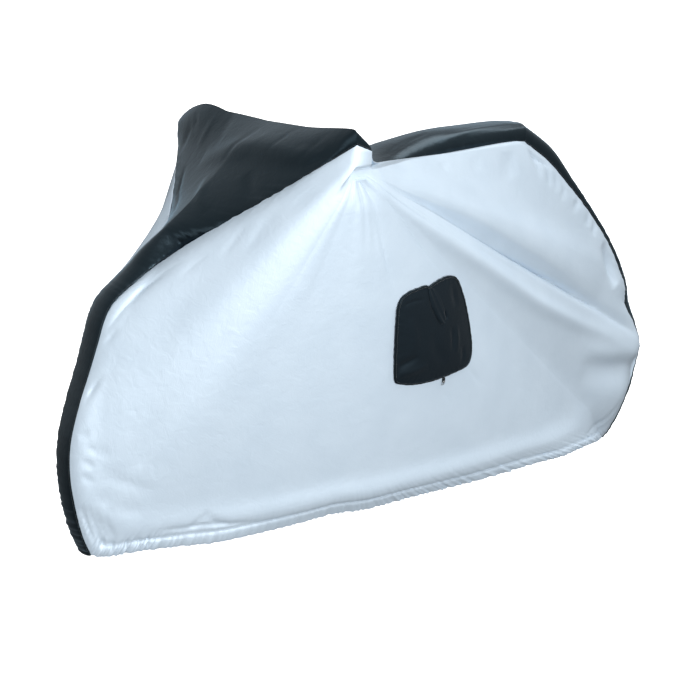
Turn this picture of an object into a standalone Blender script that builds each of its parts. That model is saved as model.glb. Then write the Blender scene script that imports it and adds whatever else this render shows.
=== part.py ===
"""Bicycle cover, hanging in the shape that it takes in use.

The outer skin is laid out first as one surface of shared points, so two panels that are
sewn together have the same points along their seam.  The skin is then cut along the
seams, and each panel becomes a closed solid with mitred edges.

The tables are in metres: x forward, y to the left, z up from the ground.  x = 0 is the
middle of the round nose.  The part's own origin is REST, where the hump bears.
"""
import math
from collections import namedtuple

import bmesh
import bpy
from mathutils import Vector
from mathutils.bvhtree import BVHTree

# ---------------------------------------------------------------- driving sizes
CLOTH = 0.002            # thickness of every panel
SEAM_GAP = 0.0003        # clearance between two panels along a seam
HALF_WIDTH = 0.338       # middle line to the left hood corner
RIGHT_LEAD = 0.037       # the right hood corner hangs this far ahead of the left one,
RIGHT_DROP = 0.058       # and this much lower

# The hood's ridge rises towards each end: how much, and between which distances out.
Horn = namedtuple("Horn", "rise start end")
LEFT_HORN = Horn(0.016, 0.12, 0.40)
RIGHT_HORN = Horn(0.027, 0.10, 0.25)
REST = Vector((-0.83, 0.0, 1.026))
RINGS = 12               # steps from a hood corner out to the edge of a side panel
RING_CROWDING = 1.3      # above 1 the rings lie closer together near the corner
COLUMNS = (0.0, 0.22, 0.44, 0.64, 0.80, 0.905, 0.955, 1.0)  # middle line to edge, by length

# The flat end of the hood corner, seen from the side: a tall slot with a round bottom.
CORNER_FRONT = (-0.215, 1.058)
CORNER_BACK = (-0.256, 1.042)
CORNER_BOTTOM = 0.995    # height at which the two creases turn into the round
CORNER_LEAN = 0.05       # the end leans in by this much per metre of height

# ---------------------------------------------------------------- top band, front to back
# A section across the black band: its middle, its sewn left edge, and its crown, where
# 2 is a straight roof, 1 is a half ellipse and less is boxy.
Section = namedtuple("Section", "mid_x mid_z edge_x edge_y edge_z crown")

NOSE = [  # from the front hem up to the neck, where the band flares into the hood
    Section(0.299, 0.147, 0.293, 0.030, 0.151, 1.1),
    Section(0.320, 0.195, 0.312, 0.030, 0.199, 1.1),
    Section(0.338, 0.268, 0.328, 0.031, 0.270, 1.1),
    Section(0.343, 0.345, 0.337, 0.031, 0.345, 1.1),
    Section(0.337, 0.418, 0.332, 0.031, 0.420, 1.1),
    Section(0.311, 0.503, 0.307, 0.032, 0.505, 1.1),
    Section(0.287, 0.571, 0.282, 0.033, 0.569, 1.1),
    Section(0.266, 0.637, 0.258, 0.035, 0.635, 1.1),
    Section(0.253, 0.680, 0.243, 0.036, 0.678, 1.1),
    Section(0.235, 0.715, 0.227, 0.037, 0.708, 1.1),
    Section(0.214, 0.740, 0.206, 0.038, 0.729, 1.1),
    Section(0.190, 0.758, 0.178, 0.038, 0.748, 1.1),
    Section(0.155, 0.787, 0.134, 0.039, 0.776, 1.1),
    Section(0.119, 0.822, 0.090, 0.040, 0.799, 1.1),
    Section(0.068, 0.860, 0.038, 0.040, 0.819, 1.2),
]

HUMP = [  # from the dip behind the hood, over the hump, to the crease above the tail
    Section(-0.435, 0.983, -0.420, 0.120, 0.969, 1.2),
    Section(-0.500, 0.992, -0.498, 0.092, 0.963, 1.1),
    Section(-0.572, 1.008, -0.565, 0.078, 0.962, 1.0),
    Section(-0.655, 1.022, -0.643, 0.066, 0.963, 0.9),
    Section(-0.720, 1.027, -0.710, 0.063, 0.967, 0.8),
    Section(-0.785, 1.028, -0.776, 0.061, 0.971, 0.7),
    Section(-0.900, 1.030, -0.890, 0.058, 0.979, 0.6),
    Section(-0.962, 1.026, -0.953, 0.055, 0.980, 0.55),
]

TAIL = [  # from below the crease down to the rear hem
    Section(-1.061, 0.958, -1.035, 0.055, 0.925, 0.50),
    Section(-1.140, 0.867, -1.117, 0.055, 0.849, 0.50),
    Section(-1.191, 0.809, -1.173, 0.052, 0.795, 0.50),
    Section(-1.257, 0.735, -1.242, 0.046, 0.722, 0.55),
    Section(-1.307, 0.669, -1.293, 0.042, 0.655, 0.60),
    Section(-1.345, 0.613, -1.322, 0.040, 0.604, 0.80),
    Section(-1.372, 0.560, -1.349, 0.037, 0.556, 1.0),
    Section(-1.388, 0.506, -1.353, 0.036, 0.504, 1.0),
    Section(-1.412, 0.448, -1.391, 0.033, 0.449, 1.0),
    Section(-1.430, 0.382, -1.421, 0.031, 0.383, 1.0),
    Section(-1.420, 0.312, -1.402, 0.031, 0.318, 1.0),
    Section(-1.400, 0.245, -1.377, 0.031, 0.253, 1.0),
    Section(-1.345, 0.162, -1.326, 0.031, 0.170, 1.0),
    Section(-1.304, 0.128, -1.290, 0.031, 0.138, 1.0),
]

# The middle line of the hood and of the dip.  Their edges follow the side panel's rings.
MidPoint = namedtuple("MidPoint", "ring x z crown")
HOOD_MID = [  # ring 0 is the ridge, the last ring is the neck
    MidPoint(0, -0.212, 1.080, 0.14),
    MidPoint(1, -0.176, 1.064, 0.90),
    MidPoint(2, -0.140, 1.038, 1.30),
    MidPoint(3, -0.108, 1.006, 1.60),
    MidPoint(6, -0.050, 0.953, 1.85),
    MidPoint(9, 0.009, 0.904, 1.80),
    MidPoint(12, 0.068, 0.860, 1.20),
]
DIP_MID = [  # ring 0 is just behind the ridge
    MidPoint(0, -0.248, 1.062, 0.25),
    MidPoint(2, -0.266, 1.036, 0.60),
    MidPoint(5, -0.296, 1.007, 0.80),
    MidPoint(9, -0.365, 0.986, 1.10),
    MidPoint(12, -0.435, 0.983, 1.20),
]

# ---------------------------------------------------------------- left side panel
HemPoint = namedtuple("HemPoint", "x y z")
HEM = [  # front to back, between the two ends of the band
    HemPoint(0.272, 0.036, 0.143), HemPoint(0.240, 0.044, 0.142),
    HemPoint(0.205, 0.051, 0.143), HemPoint(0.165, 0.058, 0.142),
    HemPoint(0.085, 0.070, 0.137), HemPoint(0.005, 0.083, 0.131),
    HemPoint(-0.074, 0.095, 0.132), HemPoint(-0.157, 0.106, 0.134),
    HemPoint(-0.235, 0.115, 0.137), HemPoint(-0.312, 0.125, 0.142),
    HemPoint(-0.399, 0.133, 0.137), HemPoint(-0.490, 0.140, 0.141),
    HemPoint(-0.569, 0.144, 0.144), HemPoint(-0.652, 0.147, 0.146),
    HemPoint(-0.739, 0.148, 0.148), HemPoint(-0.852, 0.142, 0.151),
    HemPoint(-0.958, 0.132, 0.152), HemPoint(-1.056, 0.118, 0.147),
    HemPoint(-1.120, 0.104, 0.148), HemPoint(-1.185, 0.085, 0.147),
    HemPoint(-1.245, 0.060, 0.141),
]

# Ribs fan out from the end of the hood corner to the panel's edge.  start is the share
# of the way round the corner's end.  Between its ends a rib sags inwards (left_in and
# right_in are for the two side panels), back and down, most at the share sag_at.
Rib = namedtuple("Rib", "number start left_in right_in back down sag_at")
RIBS = [
    Rib(0, 0.00, 0.000, 0.000, 0.000, 0.000, 0.45),    # neck: the hood seam
    Rib(2, 0.05, 0.006, 0.006, 0.024, 0.010, 0.45),
    Rib(4, 0.10, 0.012, 0.018, 0.036, 0.020, 0.45),    # shoulder of the nose
    Rib(7, 0.15, 0.016, 0.030, 0.034, 0.014, 0.48),
    Rib(9, 0.18, 0.014, 0.034, 0.016, 0.004, 0.50),
    Rib(11, 0.22, 0.010, 0.022, 0.000, 0.000, 0.50),   # foremost point
    Rib(14, 0.33, 0.010, 0.014, 0.000, 0.000, 0.50),   # front end of the hem
    Rib(20, 0.41, 0.010, 0.012, 0.000, 0.000, 0.50),
    Rib(27, 0.52, 0.004, 0.008, 0.000, 0.000, 0.50),
    Rib(32, 0.60, 0.010, 0.012, 0.000, 0.000, 0.50),
    Rib(36, 0.65, 0.014, 0.014, 0.000, 0.000, 0.55),   # rear end of the hem
    Rib(40, 0.69, 0.000, 0.000, 0.000, 0.000, 0.50),   # hindmost point: the taut ridge
    Rib(42, 0.71, 0.016, 0.014, 0.000, 0.000, 0.55),
    Rib(46, 0.74, 0.034, 0.032, 0.000, 0.004, 0.50),
    Rib(50, 0.77, 0.050, 0.050, 0.000, 0.016, 0.42),   # crease above the tail
    Rib(53, 0.80, 0.056, 0.056, 0.000, 0.024, 0.38),
    Rib(55, 0.84, 0.050, 0.050, 0.000, 0.022, 0.36),
    Rib(56, 0.90, 0.030, 0.030, 0.000, 0.014, 0.40),
    Rib(57, 1.00, 0.000, 0.000, 0.000, 0.000, 0.50),   # the dip seam
]

# Folds run along the ribs: their place and half width are in ribs, their ends in shares
# of the rib's length, and their height is outwards.
Fold = namedtuple("Fold", "rib half_width start end height")
LEFT_FOLDS = [
    Fold(40.0, 1.1, 0.03, 0.99, 0.010),    # the ridge to the hindmost point
    Fold(41.8, 1.5, 0.05, 0.95, -0.026),   # the trough above it
    Fold(44.3, 1.8, 0.30, 0.97, 0.010),
    Fold(37.8, 1.2, 0.04, 0.70, -0.007),
    Fold(35.5, 1.5, 0.06, 0.80, 0.006),
    Fold(25.0, 1.2, 0.00, 0.30, 0.004),
    Fold(19.0, 1.2, 0.00, 0.45, 0.004),
    Fold(16.5, 1.5, 0.55, 1.00, 0.006),
    Fold(13.2, 1.2, 0.45, 0.98, -0.005),
]
RIGHT_FOLDS = [
    Fold(40.3, 1.3, 0.05, 0.98, 0.009),
    Fold(42.4, 1.7, 0.08, 0.94, -0.022),
    Fold(46.5, 1.6, 0.30, 0.95, 0.008),
    Fold(37.0, 1.4, 0.05, 0.75, -0.008),
    Fold(31.0, 2.0, 0.10, 0.85, 0.007),
    Fold(27.5, 1.6, 0.15, 0.80, -0.006),
    Fold(20.5, 1.6, 0.05, 0.60, 0.006),
    Fold(15.5, 1.6, 0.50, 1.00, 0.007),
    Fold(5.0, 2.0, 0.30, 0.95, 0.007),
]
HEM_PUFF = 0.010         # the elastic draws the hem in, so the cloth puffs out above it
HEM_PUFF_AT = 0.92       # share of the rib's length
HEM_PUFF_SPREAD = 0.05

# ---------------------------------------------------------------- pocket, on the left panel
POCKET_OUTLINE = [  # x, z of the bound edge seen side on, from its lower front corner up
    (-0.415, 0.485), (-0.405, 0.531), (-0.395, 0.595), (-0.389, 0.644), (-0.388, 0.671),
    (-0.395, 0.688), (-0.413, 0.698), (-0.438, 0.703), (-0.470, 0.703), (-0.488, 0.704),
    (-0.515, 0.713), (-0.550, 0.716), (-0.573, 0.709), (-0.587, 0.695), (-0.606, 0.662),
    (-0.626, 0.614), (-0.645, 0.553), (-0.651, 0.520), (-0.649, 0.495), (-0.636, 0.481),
    (-0.603, 0.474), (-0.549, 0.466), (-0.498, 0.463), (-0.456, 0.466), (-0.426, 0.474),
]
POCKET_RINGS = (0.0, 0.30, 0.55, 0.78, 0.93, 1.0)
POCKET_CROWN = 0.014     # thickness in the middle
POCKET_EDGE = 0.005      # thickness at the edge
POCKET_CLEAR = 0.0010    # off the panel, which is not quite flat below it
BINDING_RADIUS = 0.0028
TAB_TOP = (-0.488, 0.687)
TAB_END = (-0.549, 0.609)
TAB_WIDTH = 0.019
TAB_THICKNESS = 0.0020
TAB_CLEAR = 0.0006
SLIDER_AT = (-0.566, 0.4565)
SLIDER_SIZE = (0.008, 0.005, 0.014)
PULLER_AT = (-0.568, 0.4415)
PULLER_SIZE = (0.007, 0.003, 0.011)
ZIP_CLEAR = 0.0005
PANEL_LEAN = math.radians(-10.0)  # the left panel leans out at the pocket's foot

COLOURS = {  # linear red, green, blue; roughness; metallic
    "silver_cloth": ((0.60, 0.72, 0.83), 0.42, 0.25),
    "black_cloth": ((0.022, 0.036, 0.043), 0.45, 0.0),
    "pocket_cloth": ((0.014, 0.021, 0.026), 0.60, 0.0),
    "slider_plastic": ((0.012, 0.014, 0.016), 0.50, 0.0),
    "puller_metal": ((0.55, 0.56, 0.57), 0.30, 1.0),
}


# ---------------------------------------------------------------- curves and tables
def smooth(share):
    """A share from 0 to 1, eased at both ends."""
    share = min(max(share, 0.0), 1.0)
    return share * share * (3.0 - 2.0 * share)


def look_up(table, at):
    """Every column of a table at a place in its first column, read between its rows."""
    for low, high in zip(table, table[1:]):
        if at <= high[0]:
            share = (at - low[0]) / (high[0] - low[0])
            return [a + (b - a) * share for a, b in zip(low[1:], high[1:])]
    return list(table[-1][1:])


def ring_share(ring):
    return (ring / RINGS) ** RING_CROWDING


def section_point(section, turn, horn, horn_share):
    """A point on the left half of a section: turn 0 is the middle, a quarter the edge.

    The horn lifts the outer part of a wide section, and fades out at its sewn edge.
    """
    y = section.edge_y * math.sin(turn) ** section.crown
    above_edge = max(math.cos(turn), 0.0) ** section.crown
    x = section.edge_x + (section.mid_x - section.edge_x) * above_edge
    z = section.edge_z + (section.mid_z - section.edge_z) * above_edge
    rise = horn.rise * smooth((y - horn.start) / (horn.end - horn.start))
    return Vector((x, y, z + rise * horn_share * smooth(2.0 * above_edge)))


def half_section(section, horn, horn_share):
    """The left half of a section as points at COLUMNS shares of its length."""
    fine = [section_point(section, math.pi / 2 * i / 192, horn, horn_share) for i in range(193)]
    reach = [0.0]
    for a, b in zip(fine, fine[1:]):
        reach.append(reach[-1] + (b - a).length)
    points = []
    for share in COLUMNS:
        at = share * reach[-1]
        i = next(i for i in range(1, len(reach)) if reach[i] >= at - 1e-9)
        step = (at - reach[i - 1]) / (reach[i] - reach[i - 1])
        points.append(fine[i - 1].lerp(fine[i], step))
    return points


def to_right(point):
    """The right side mirrors the left, with its hood corner further forward and lower."""
    share = abs(point.y) / HALF_WIDTH
    lead = RIGHT_LEAD * share ** 2
    drop = RIGHT_DROP * share ** 6
    return Vector((point.x + lead, -point.y, point.z - drop))


# ---------------------------------------------------------------- side panel ribs
def corner_end(share):
    """A point on the outline of the hood corner's flat end, front crease to back crease."""
    radius = (CORNER_FRONT[0] - CORNER_BACK[0]) / 2
    front = CORNER_FRONT[1] - CORNER_BOTTOM
    back = CORNER_BACK[1] - CORNER_BOTTOM
    round_part = math.pi * radius
    at = share * (front + round_part + back)
    if at <= front:
        x, z = CORNER_FRONT[0], CORNER_FRONT[1] - at
    elif at <= front + round_part:
        turn = (at - front) / radius
        x = CORNER_FRONT[0] - radius + radius * math.cos(turn)
        z = CORNER_BOTTOM - radius * math.sin(turn)
    else:
        x, z = CORNER_BACK[0], CORNER_BOTTOM + (at - front - round_part)
    return Vector((x, HALF_WIDTH - CORNER_LEAN * (CORNER_FRONT[1] - z), z))


def sag_share(share, at):
    """0 at both ends of a rib and 1 where it sags most."""
    power = (1.0 - at) / at
    return share * (1.0 - share) ** power / (at * (1.0 - at) ** power)


def rib_points(number, end, on_right=False):
    """One rib as points from the corner's end to the panel's edge, worked out on the left."""
    start_share, left_in, right_in, back, down, sag_at = look_up(RIBS, number)
    sag = Vector((back, right_in if on_right else left_in, down))
    start = corner_end(start_share)
    points = []
    for ring in range(RINGS + 1):
        share = ring_share(ring)
        points.append(start.lerp(end, share) - sag * sag_share(share, sag_at))
    return points


def fold_height(folds, number, share):
    """How far the folds lift the cloth at one place on one rib."""
    height = 0.0
    for fold in folds:
        side = abs(number - fold.rib) / fold.half_width
        if side >= 1.0 or not fold.start < share < fold.end:
            continue
        along = (share - fold.start) / (fold.end - fold.start)
        height += fold.height * math.cos(side * math.pi / 2) ** 2 * math.sin(along * math.pi) ** 0.6
    return height


def grid_normal(grid, i, j):
    """The outward direction of a grid of points, ribs by rings, at one of its points."""
    along = grid[min(i + 1, len(grid) - 1)][j] - grid[max(i - 1, 0)][j]
    out = grid[i][min(j + 1, RINGS)] - grid[i][max(j - 1, 0)]
    return out.cross(along).normalized()


def side_panel_points(edge_points, hem_ribs, folds, on_right):
    """All points of a side panel, ribs by rings, with its folds and puffed hem."""
    flat = [rib_points(i, end, on_right) for i, end in enumerate(edge_points)]
    folded = [list(rib) for rib in flat]
    for i in range(1, len(flat) - 1):
        for j in range(1, RINGS):
            share = ring_share(j)
            height = fold_height(folds, i, share)
            if i in hem_ribs:
                spread = (share - HEM_PUFF_AT) / HEM_PUFF_SPREAD
                height += HEM_PUFF * math.exp(-spread * spread)
            folded[i][j] = flat[i][j] + grid_normal(flat, i, j) * height
    return folded


# ---------------------------------------------------------------- the skin
def band_sections():
    """Every section of the band from front to back, and where each panel of it starts."""
    neck = NOSE[-1]
    dip = HUMP[0]
    hood_seam = rib_points(0, Vector((neck.edge_x, neck.edge_y, neck.edge_z)))
    dip_seam = rib_points(RIBS[-1].number, Vector((dip.edge_x, dip.edge_y, dip.edge_z)))
    sections = [(section, 0.0) for section in NOSE]  # each with its share of the horns
    for ring in reversed(range(RINGS)):
        x, z, crown = look_up(HOOD_MID, ring)
        sections.append((Section(x, z, *hood_seam[ring], crown), smooth(1.0 - ring / 3.0)))
    ridge = len(sections) - 1
    for ring in range(RINGS):
        x, z, crown = look_up(DIP_MID, ring)
        sections.append((Section(x, z, *dip_seam[ring], crown), 0.0))
    sections += [(section, 0.0) for section in HUMP]
    crease = len(sections) - 1
    sections += [(section, 0.0) for section in TAIL]
    return sections, ridge, crease


def add_faces(skin, rows, tag):
    """Join rows of shared points with faces that carry a panel's tag."""
    layer = skin.faces.layers.int["panel"]
    for low, high in zip(rows, rows[1:]):
        for a, b, c, d in zip(low, low[1:], high[1:], high):
            face = skin.faces.new((a, b, c, d))
            face[layer] = tag


def close_corner(skin, outline, tag):
    """Close the flat end of a hood corner with triangles from crease to crease."""
    low, high = 0, len(outline) - 1
    while high - low > 1:
        up = (outline[low + 1].co - outline[high].co).length
        down = (outline[high - 1].co - outline[low].co).length
        middle = low + 1 if up < down else high - 1
        face = skin.faces.new((outline[low], outline[middle], outline[high]))
        face[skin.faces.layers.int["panel"]] = tag
        low, high = (middle, high) if up < down else (low, middle)


def add_side(skin, band, ridge, to_side, folds, tag, edge_column):
    """Lay out one side panel on the points of the band's seam, and add its faces."""
    seam = [row[edge_column] for row in band]
    dip_start, dip_end = ridge + 1, ridge + 1 + RINGS
    neck = len(NOSE) - 1
    ends = list(reversed(seam[:neck + 1]))
    hem_first = len(ends)
    ends += [skin.verts.new(to_side(Vector(point))) for point in HEM]
    hem_ribs = range(hem_first - 1, len(ends) + 1)
    ends += list(reversed(seam[dip_end:]))
    from_side = [mirror_back(vert.co, to_side) for vert in ends]
    points = side_panel_points(from_side, hem_ribs, folds, to_side is to_right)
    ribs = []
    for i, rib in enumerate(points):
        if i == 0:
            verts = [seam[ridge - ring] for ring in range(RINGS)]
        elif i == len(points) - 1:
            verts = seam[dip_start:dip_end]
        else:
            verts = [skin.verts.new(to_side(point)) for point in rib[:-1]]
        ribs.append(verts + [ends[i]])
    if to_side is to_right:
        ribs.reverse()
    add_faces(skin, ribs, tag)
    close_corner(skin, [rib[0] for rib in ribs], tag)


def mirror_back(point, to_side):
    """A point of either side as it lies on the left one, where the ribs are worked out."""
    if to_side is not to_right:
        return point.copy()
    share = abs(point.y) / HALF_WIDTH
    lead = RIGHT_LEAD * share ** 2
    drop = RIGHT_DROP * share ** 6
    return Vector((point.x - lead, -point.y, point.z + drop))


PANELS = ("front_panel", "top_panel", "tail_panel", "side_panel_left", "side_panel_right")


def build_skin():
    """The whole outer surface, with the index in PANELS on each face."""
    skin = bmesh.new()
    skin.faces.layers.int.new("panel")
    sections, ridge, crease = band_sections()
    band = []
    for section, horn_share in sections:
        left = half_section(section, LEFT_HORN, horn_share)
        right = half_section(section, RIGHT_HORN, horn_share)
        right = [to_right(point) for point in reversed(right[1:])]
        band.append([skin.verts.new(point) for point in right + left])
    add_faces(skin, band[:ridge + 1], 0)
    add_faces(skin, band[ridge:crease + 1], 1)
    add_faces(skin, band[crease:], 2)
    add_side(skin, band, ridge, Vector, LEFT_FOLDS, 3, -1)
    add_side(skin, band, ridge, to_right, RIGHT_FOLDS, 4, 0)
    bmesh.ops.triangulate(skin, faces=skin.faces, quad_method="SHORT_EDGE")
    skin.verts.index_update()
    skin.normal_update()
    return skin


# ---------------------------------------------------------------- skin to solids
def seam_shift(vert, tag, layer):
    """The step that moves a point of one panel half the gap away from its seams."""
    ways = []
    for edge in vert.link_edges:
        inside = [face for face in edge.link_faces if face[layer] == tag]
        if len(inside) != 1 or len(edge.link_faces) != 2:
            continue
        along = (edge.verts[1].co - edge.verts[0].co).normalized()
        way = inside[0].calc_center_median() - (edge.verts[0].co + edge.verts[1].co) / 2
        way -= along * way.dot(along)
        way -= vert.normal * way.dot(vert.normal)
        ways.append(way.normalized())
    if not ways:
        return Vector()
    total = sum(ways, Vector())
    share = 1.0 + ways[0].dot(ways[1]) if len(ways) > 1 else 1.0
    return total * (SEAM_GAP / 2 / max(share, 0.4))


def panel_solid(skin, tag):
    """Cut one panel out of the skin as a closed solid of the cloth's thickness."""
    layer = skin.faces.layers.int["panel"]
    faces = [face for face in skin.faces if face[layer] == tag]
    solid = bmesh.new()
    outer, inner = {}, {}
    for vert in {vert for face in faces for vert in face.verts}:
        point = vert.co + seam_shift(vert, tag, layer) - REST
        depth = CLOTH * min(vert.calc_shell_factor(), 2.5)
        outer[vert] = solid.verts.new(point)
        inner[vert] = solid.verts.new(point - vert.normal * depth)
    for face in faces:
        solid.faces.new([outer[vert] for vert in face.verts])
        solid.faces.new([inner[vert] for vert in reversed(face.verts)])
        for loop in face.loops:
            others = [other for other in loop.edge.link_faces if other is not face]
            if any(other[layer] == tag for other in others):
                continue
            a, b = loop.vert, loop.link_loop_next.vert
            # Both panels of a seam split its edge faces along the same diagonal.
            if a.index < b.index:
                solid.faces.new((outer[b], outer[a], inner[b]))
                solid.faces.new((outer[a], inner[a], inner[b]))
            else:
                solid.faces.new((outer[b], outer[a], inner[a]))
                solid.faces.new((outer[b], inner[a], inner[b]))
    solid.normal_update()
    return solid


# ---------------------------------------------------------------- pocket and zip
def on_surface(tree, x, z, height):
    """The point at a height above the left side of a surface, at a place seen side on."""
    hit, normal, _, _ = tree.ray_cast(Vector((x, 1.0, z)) - REST, Vector((0.0, -1.0, 0.0)))
    return hit + normal * height


def round_outline(points, count):
    """A smooth closed curve through the points, as count points at even steps."""
    total = len(points)
    curve = []
    for i in range(total):
        before, a, b, after = (Vector(points[(i + k) % total]) for k in (-1, 0, 1, 2))
        for step in range(12):
            t = step / 12
            curve.append(0.5 * (2 * a + (b - before) * t
                                + (2 * before - 5 * a + 4 * b - after) * t * t
                                + (3 * a - before - 3 * b + after) * t * t * t))
    lengths = [(b - a).length for a, b in zip(curve, curve[1:] + curve[:1])]
    even, walked, i = [], 0.0, 0
    for k in range(count):
        at = sum(lengths) * k / count
        while walked + lengths[i] < at:
            walked += lengths[i]
            i += 1
        even.append(curve[i].lerp(curve[(i + 1) % len(curve)], (at - walked) / lengths[i]))
    return even


def pocket_solid(tree, outline, middle):
    """The pouch: a low crowned pad whose back follows the panel."""
    solid = bmesh.new()
    fronts, backs = [], []
    for ring in POCKET_RINGS:
        thickness = POCKET_EDGE + (POCKET_CROWN - POCKET_EDGE) * (1.0 - ring ** 3)
        front, back = [], []
        for point in outline if ring else outline[:1]:
            at = middle.lerp(point, ring)
            back.append(solid.verts.new(on_surface(tree, *at, POCKET_CLEAR)))
            front.append(solid.verts.new(on_surface(tree, *at, POCKET_CLEAR + thickness)))
        fronts.append(front)
        backs.append(back)
    count = len(outline)
    for i in range(count):
        k = (i + 1) % count
        solid.faces.new((fronts[0][0], fronts[1][k], fronts[1][i]))
        solid.faces.new((backs[0][0], backs[1][i], backs[1][k]))
        for small, large in zip(fronts[1:], fronts[2:]):
            solid.faces.new((small[i], small[k], large[k], large[i]))
        for small, large in zip(backs[1:], backs[2:]):
            solid.faces.new((small[k], small[i], large[i], large[k]))
        solid.faces.new((fronts[-1][i], fronts[-1][k], backs[-1][k], backs[-1][i]))
    bmesh.ops.recalc_face_normals(solid, faces=solid.faces)
    return solid


def tab_solid(tree):
    """The folded tongue that lies down the pouch from its top edge."""
    top, end = Vector(TAB_TOP), Vector(TAB_END)
    side = (end - top).orthogonal().normalized() * TAB_WIDTH / 2
    solid = bmesh.new()
    lows, highs = [], []
    for step in range(7):
        middle = top.lerp(end, step / 6)
        ends = [middle - side, middle, middle + side]
        lows.append([solid.verts.new(on_surface(tree, *at, TAB_CLEAR)) for at in ends])
        highs.append([solid.verts.new(on_surface(tree, *at, TAB_CLEAR + TAB_THICKNESS))
                      for at in ends])
    for rows in (lows, highs):
        for low, high in zip(rows, rows[1:]):
            for a, b, c, d in zip(low, low[1:], high[1:], high):
                solid.faces.new((a, b, c, d))
    rim_low = lows[0] + [row[2] for row in lows[1:-1]] + lows[-1][::-1] \
        + [row[0] for row in lows[-2:0:-1]]
    rim_high = highs[0] + [row[2] for row in highs[1:-1]] + highs[-1][::-1] \
        + [row[0] for row in highs[-2:0:-1]]
    for i, low in enumerate(rim_low):
        k = (i + 1) % len(rim_low)
        solid.faces.new((low, rim_low[k], rim_high[k], rim_high[i]))
    bmesh.ops.recalc_face_normals(solid, faces=solid.faces)
    return solid


# ---------------------------------------------------------------- objects
def material(name):
    colour, roughness, metallic = COLOURS[name]
    made = bpy.data.materials.new(name)
    made.use_nodes = True
    shader = made.node_tree.nodes["Principled BSDF"]
    shader.inputs["Base Color"].default_value = (*colour, 1.0)
    shader.inputs["Roughness"].default_value = roughness
    shader.inputs["Metallic"].default_value = metallic
    made.diffuse_color = (*colour, 1.0)
    return made


def add_object(collection, name, solid, made):
    mesh = bpy.data.meshes.new(name)
    solid.to_mesh(mesh)
    solid.free()
    mesh.materials.append(made)
    mesh.shade_smooth()
    mesh.set_sharp_from_angle(angle=math.radians(40))
    piece = bpy.data.objects.new(name, mesh)
    collection.objects.link(piece)
    return piece


def add_binding(collection, tree, outline, made):
    """The round binding along the pouch's edge: a closed tube on the panel."""
    curve = bpy.data.curves.new("pocket_binding", "CURVE")
    curve.dimensions = "3D"
    curve.bevel_depth = BINDING_RADIUS
    curve.bevel_resolution = 1
    spline = curve.splines.new("POLY")
    spline.points.add(len(outline) - 1)
    for point, at in zip(spline.points, outline):
        point.co = (*on_surface(tree, *at, POCKET_CLEAR + BINDING_RADIUS), 1.0)
    spline.use_cyclic_u = True
    curve.materials.append(made)
    piece = bpy.data.objects.new("pocket_binding", curve)
    collection.objects.link(piece)
    return piece


def add_block(collection, name, size, centre, made):
    """A small block with rounded edges, leaning with the panel that it hangs on."""
    solid = bmesh.new()
    bmesh.ops.create_cube(solid, size=1.0)
    bmesh.ops.scale(solid, vec=size, verts=solid.verts)
    bmesh.ops.bevel(solid, geom=solid.edges, offset=min(size) * 0.3, segments=2,
                    affect="EDGES", profile=0.5)
    piece = add_object(collection, name, solid, made)
    piece.location = centre
    piece.rotation_euler.x = PANEL_LEAN


def main():
    for old in list(bpy.data.objects):
        bpy.data.objects.remove(old, do_unlink=True)
    collection = bpy.data.collections.new("bicycle_cover")
    bpy.context.scene.collection.children.link(collection)
    made = {name: material(name) for name in COLOURS}

    skin = build_skin()
    for tag, name in enumerate(PANELS):
        finish = made["silver_cloth" if name.startswith("side") else "black_cloth"]
        solid = panel_solid(skin, tag)
        if name == "side_panel_left":
            panel = BVHTree.FromBMesh(solid)
        add_object(collection, name, solid, finish)
    skin.free()

    bound = round_outline(POCKET_OUTLINE, 44)
    middle = sum(bound, Vector((0, 0))) / len(bound)
    radius = sum((point - middle).length for point in bound) / len(bound)
    centre_line = [middle.lerp(point, 1.0 - BINDING_RADIUS / radius) for point in bound]
    inner = [middle.lerp(point, 1.0 - (2.6 * BINDING_RADIUS) / radius) for point in bound]
    pouch = pocket_solid(panel, inner, middle)
    on_pouch = BVHTree.FromBMesh(pouch)
    add_object(collection, "pocket", pouch, made["pocket_cloth"])
    add_object(collection, "pocket_tab", tab_solid(on_pouch), made["pocket_cloth"])
    add_binding(collection, panel, centre_line, made["pocket_cloth"])
    for name, at, size, finish in (("zip_slider", SLIDER_AT, SLIDER_SIZE, "slider_plastic"),
                                   ("zip_puller", PULLER_AT, PULLER_SIZE, "puller_metal")):
        centre = on_surface(panel, *at, ZIP_CLEAR + size[1] / 2)
        add_block(collection, name, size, centre, made[finish])


main()
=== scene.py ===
# %% [markdown]
# # A bicycle cover, dressed
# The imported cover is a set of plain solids: five cloth panels, a pouch and a zip's end.
# This notebook puts finished cloth in their place.  Everything is in metres, with +X to
# the nose, +Y to the side that carries the pouch, and +Z up.

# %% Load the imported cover
import math
from collections import namedtuple

import bmesh
import bpy
import numpy as np
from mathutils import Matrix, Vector
from mathutils.bvhtree import BVHTree
from mathutils.geometry import tessellate_polygon


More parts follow.
